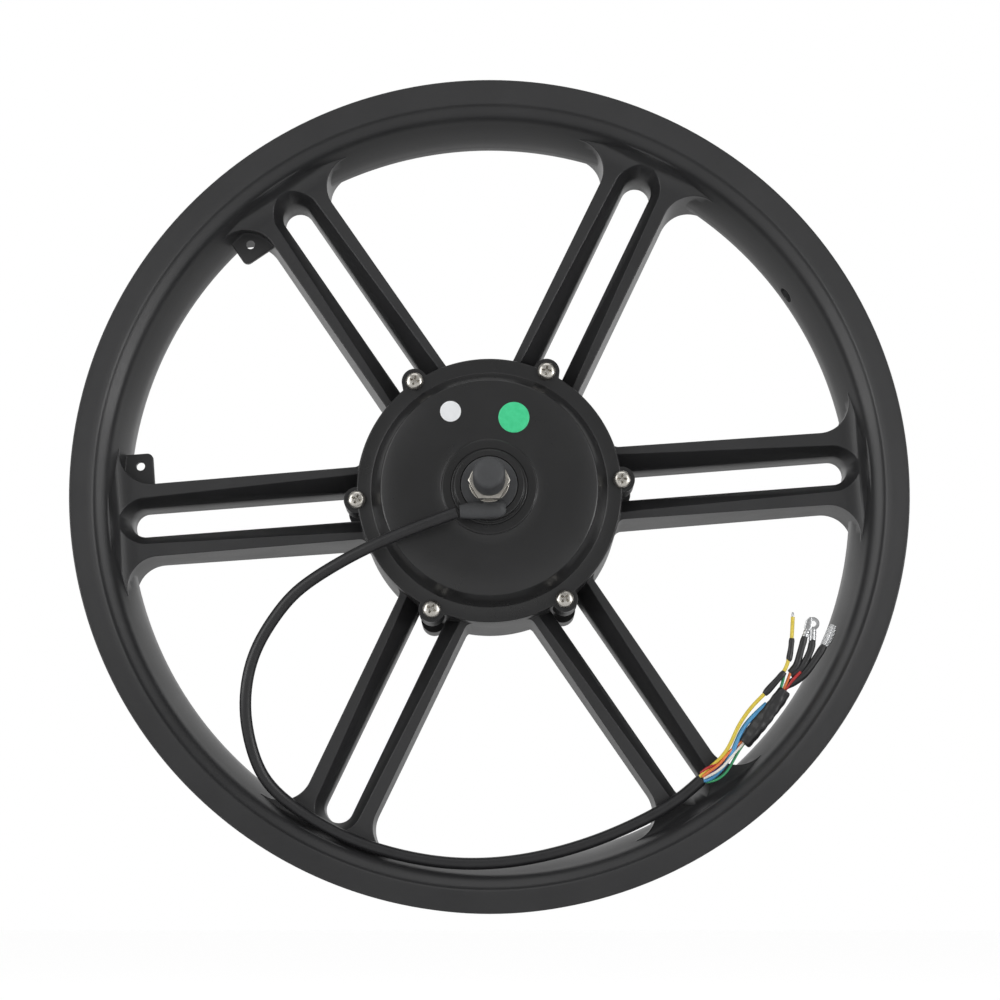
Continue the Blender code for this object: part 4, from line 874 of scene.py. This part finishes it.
def terminals(m):
    """Tinned ends: a flat blade, a ring and a braided tip."""
    def blade(t, a):
        crimp = 1 + 0.12 * math.cos(2 * math.pi * 6 * t) if t < 0.5 else 1
        wide = (1.5 if t < 0.5 else 1.9 - 1.4 * max(0, t - 0.8) / 0.2) * crimp
        return wide, 1.3 * crimp if t < 0.45 else 0.55

    def braid(t, a):
        lay = 0.16 * math.sin(8 * a + 46 * t) + 0.16 * math.sin(8 * a - 46 * t)
        swell = 2.2 - 0.9 * abs(2 * t - 1) ** 3
        return swell + lay, swell * 0.8 + lay

    def barrel(t, a):
        crimp = 1 - 0.16 * math.sin(math.pi * 4 * t) ** 2
        return 1.9 * crimp, 1.5 * crimp

    def pin(t, a):
        radius = 0.62 if t < 0.93 else 0.62 - 4 * (t - 0.93)
        return radius, radius

    tin = m["tinned copper"]
    place(sweep("flat_blade", BLADE_POINTS, blade), "axle_assembly", tin, "nickel", "terminal_leads")
    place(sweep("braided_tip", BRAID_POINTS, braid, 48, 0.25 * MM), "axle_assembly", tin, "nickel")
    place(sweep("ring_barrel", RING_BARREL_POINTS, barrel), "axle_assembly", tin, "nickel")
    place(sweep("contact_pin", PIN_POINTS, pin, 16), "axle_assembly", tin, "nickel")
    profile = [(1.55, -0.35), (1.7, -0.45), (3.1, -0.45), (3.25, -0.3), (3.25, 0.3), (3.1, 0.45), (1.7, 0.45),
               (1.55, 0.35)]
    ring = lathe("ring_terminal", [(r * MM, y * MM) for r, y in profile], 48)
    ring.data.transform(Matrix.Translation(Vector(RING_CENTRE) * MM))
    place(ring, "axle_assembly", tin, "nickel")


# ---- studio -----------------------------------------------------------------------------------
def camera():
    """The eye, before the freewheel side and a little below the axle."""
    data = bpy.data.cameras.new("view")
    data.lens = LENS
    data.sensor_width = SENSOR
    data.clip_end = 60
    obj = linked("view", data)
    back = -CAMERA_DISTANCE * math.cos(CAMERA_TILT)
    low = -CAMERA_DISTANCE * math.sin(CAMERA_TILT)
    obj.location = (CAMERA_ASIDE, back, low)
    obj.rotation_euler = (math.pi / 2 + CAMERA_TILT, 0, 0)
    bpy.context.scene.camera = obj


def softbox(name, place_at, size, radiance):
    """Square area light aimed at the wheel's centre, given by the brightness of its face."""
    data = bpy.data.lights.new(name, "AREA")
    data.shape = "RECTANGLE"
    data.size, data.size_y = size
    data.energy = radiance * math.pi * size[0] * size[1]
    obj = linked(name, data)
    obj.location = place_at
    obj.rotation_euler = (-Vector(place_at)).to_track_quat("-Z", "Y").to_euler()
    obj.visible_camera = False
    return obj


def world():
    """Even soft light: white to the eye, and to a shiny surface paler behind the wheel than before it."""
    scene_world = bpy.data.worlds.new("studio")
    bpy.context.scene.world = scene_world
    scene_world.use_nodes = True
    tree = scene_world.node_tree
    background = tree.nodes["Background"]
    direction = add(tree, "ShaderNodeTexCoord").outputs["Generated"]
    split = add(tree, "ShaderNodeSeparateXYZ", {}, {0: direction})
    behind = add(tree, "ShaderNodeMapRange",
                 {"interpolation_type": "SMOOTHSTEP", "From Min": -0.2, "From Max": 0.8,
                  "To Min": GLOSS_FRONT, "To Max": GLOSS_BEHIND}, {"Value": split.outputs["Y"]})
    path = add(tree, "ShaderNodeLightPath")
    gloss = add(tree, "ShaderNodeMix", {2: SOFT_LIGHT},
                {0: path.outputs["Is Glossy Ray"], 3: behind.outputs[0]})
    seen = add(tree, "ShaderNodeMath", {"operation": "MAXIMUM"},
               {0: path.outputs["Is Camera Ray"], 1: path.outputs["Is Transmission Ray"]})
    strength = add(tree, "ShaderNodeMix", {3: 1.0}, {0: seen.outputs[0], 2: gloss.outputs[0]})
    tree.links.new(strength.outputs[0], background.inputs["Strength"])
    background.inputs["Color"].default_value = (1, 1, 1, 1)


def floor():
    """Pale floor that keeps a soft shadow and reads white to the eye."""
    bm = bmesh.new()
    bmesh.ops.create_grid(bm, x_segments=1, y_segments=1, size=FLOOR_HALF_WIDTH)
    obj = finished("floor", bm)
    obj.location = (0, 0, FLOOR_HEIGHT)
    material = bpy.data.materials.new("matt_white_floor")
    material.use_nodes = True
    tree = material.node_tree
    shader = tree.nodes["Principled BSDF"]
    shader.inputs["Base Color"].default_value = linear("#f2f2f2")
    shader.inputs["Roughness"].default_value = 0.9
    path = add(tree, "ShaderNodeLightPath")
    lift = add(tree, "ShaderNodeMath", {"operation": "MULTIPLY", 1: FLOOR_GLOW},
               {0: path.outputs["Is Camera Ray"]})
    shader.inputs["Emission Color"].default_value = (1, 1, 1, 1)
    tree.links.new(lift.outputs[0], shader.inputs["Emission Strength"])
    obj.data.materials.append(material)


def studio():
    """Camera, background and the soft lights round the wheel."""
    camera()
    world()
    floor()
    softbox("key_left", (-1.9, -1.8, 0.8), (1.3, 1.6), 2.6)
    softbox("fill_right", (1.9, -1.8, 0.5), (1.0, 1.4), 2.6)
    softbox("top", (0, -0.9, 2.2), (1.6, 1.2), 1.2)
    softbox("low_right", (1.5, -0.75, -0.28), (1.0, 0.5), 7)
    softbox("low_left", (-1.5, -0.75, -0.28), (1.0, 0.5), 5.5)
    bpy.context.scene.view_settings.view_transform = "Standard"


# ---- the whole wheel --------------------------------------------------------------------------
def finish_frame_nodes(m):
    """Finishes of the frame's own pieces that stay."""
    chosen = {
        "zinc": "zinc plate", "steel": "turned steel", "nickel": "nickel plate",
        "bearing_steel": "ground steel", "aluminium": "machined aluminium", "rubber": "moulded rubber",
        "cable_jacket": "shrink tube", "lamination": "laminations", "copper": "enamelled copper",
        "circuit_board": "circuit board", "magnet": "nickel plate", "nylon": "natural nylon",
        "white_label": "white vinyl", "green_label": "green vinyl", "black_paint": "powder coat",
    }
    slots = {entry["node"]: entry["material_slot"] for entry in frame["record"]["subparts"]}
    for name, obj in frame["nodes"].items():
        if slots[name] in chosen:
            obj.data.materials.clear()
            obj.data.materials.append(m[chosen[slots[name]]])


studio()
finishes = materials()
finish_frame_nodes(finishes)
motor_cable(finishes)
wires(finishes)
sleeves(finishes)
short_cores(finishes)
terminals(finishes)
casting(finishes["powder coat"])
drive_cover(finishes["painted cover"])
freewheel_thread(finishes["painted cover"])
brake_cover(finishes["painted cover"])
screws(finishes["zinc plate"])
sticker("white_label", "white_sticker", finishes["white vinyl"], "white_label")
sticker("green_label", "green_sticker", finishes["green vinyl"], "green_label")
axle(finishes["turned steel"])
for side, outward in (("drive", -1), ("brake", 1)):
    nut(side, outward, finishes["nickel plate"])
    washer(side, finishes["nickel plate"])
sleeve(finishes["moulded rubber"])
spacer(finishes["turned steel"])
boot(finishes["moulded rubber"])
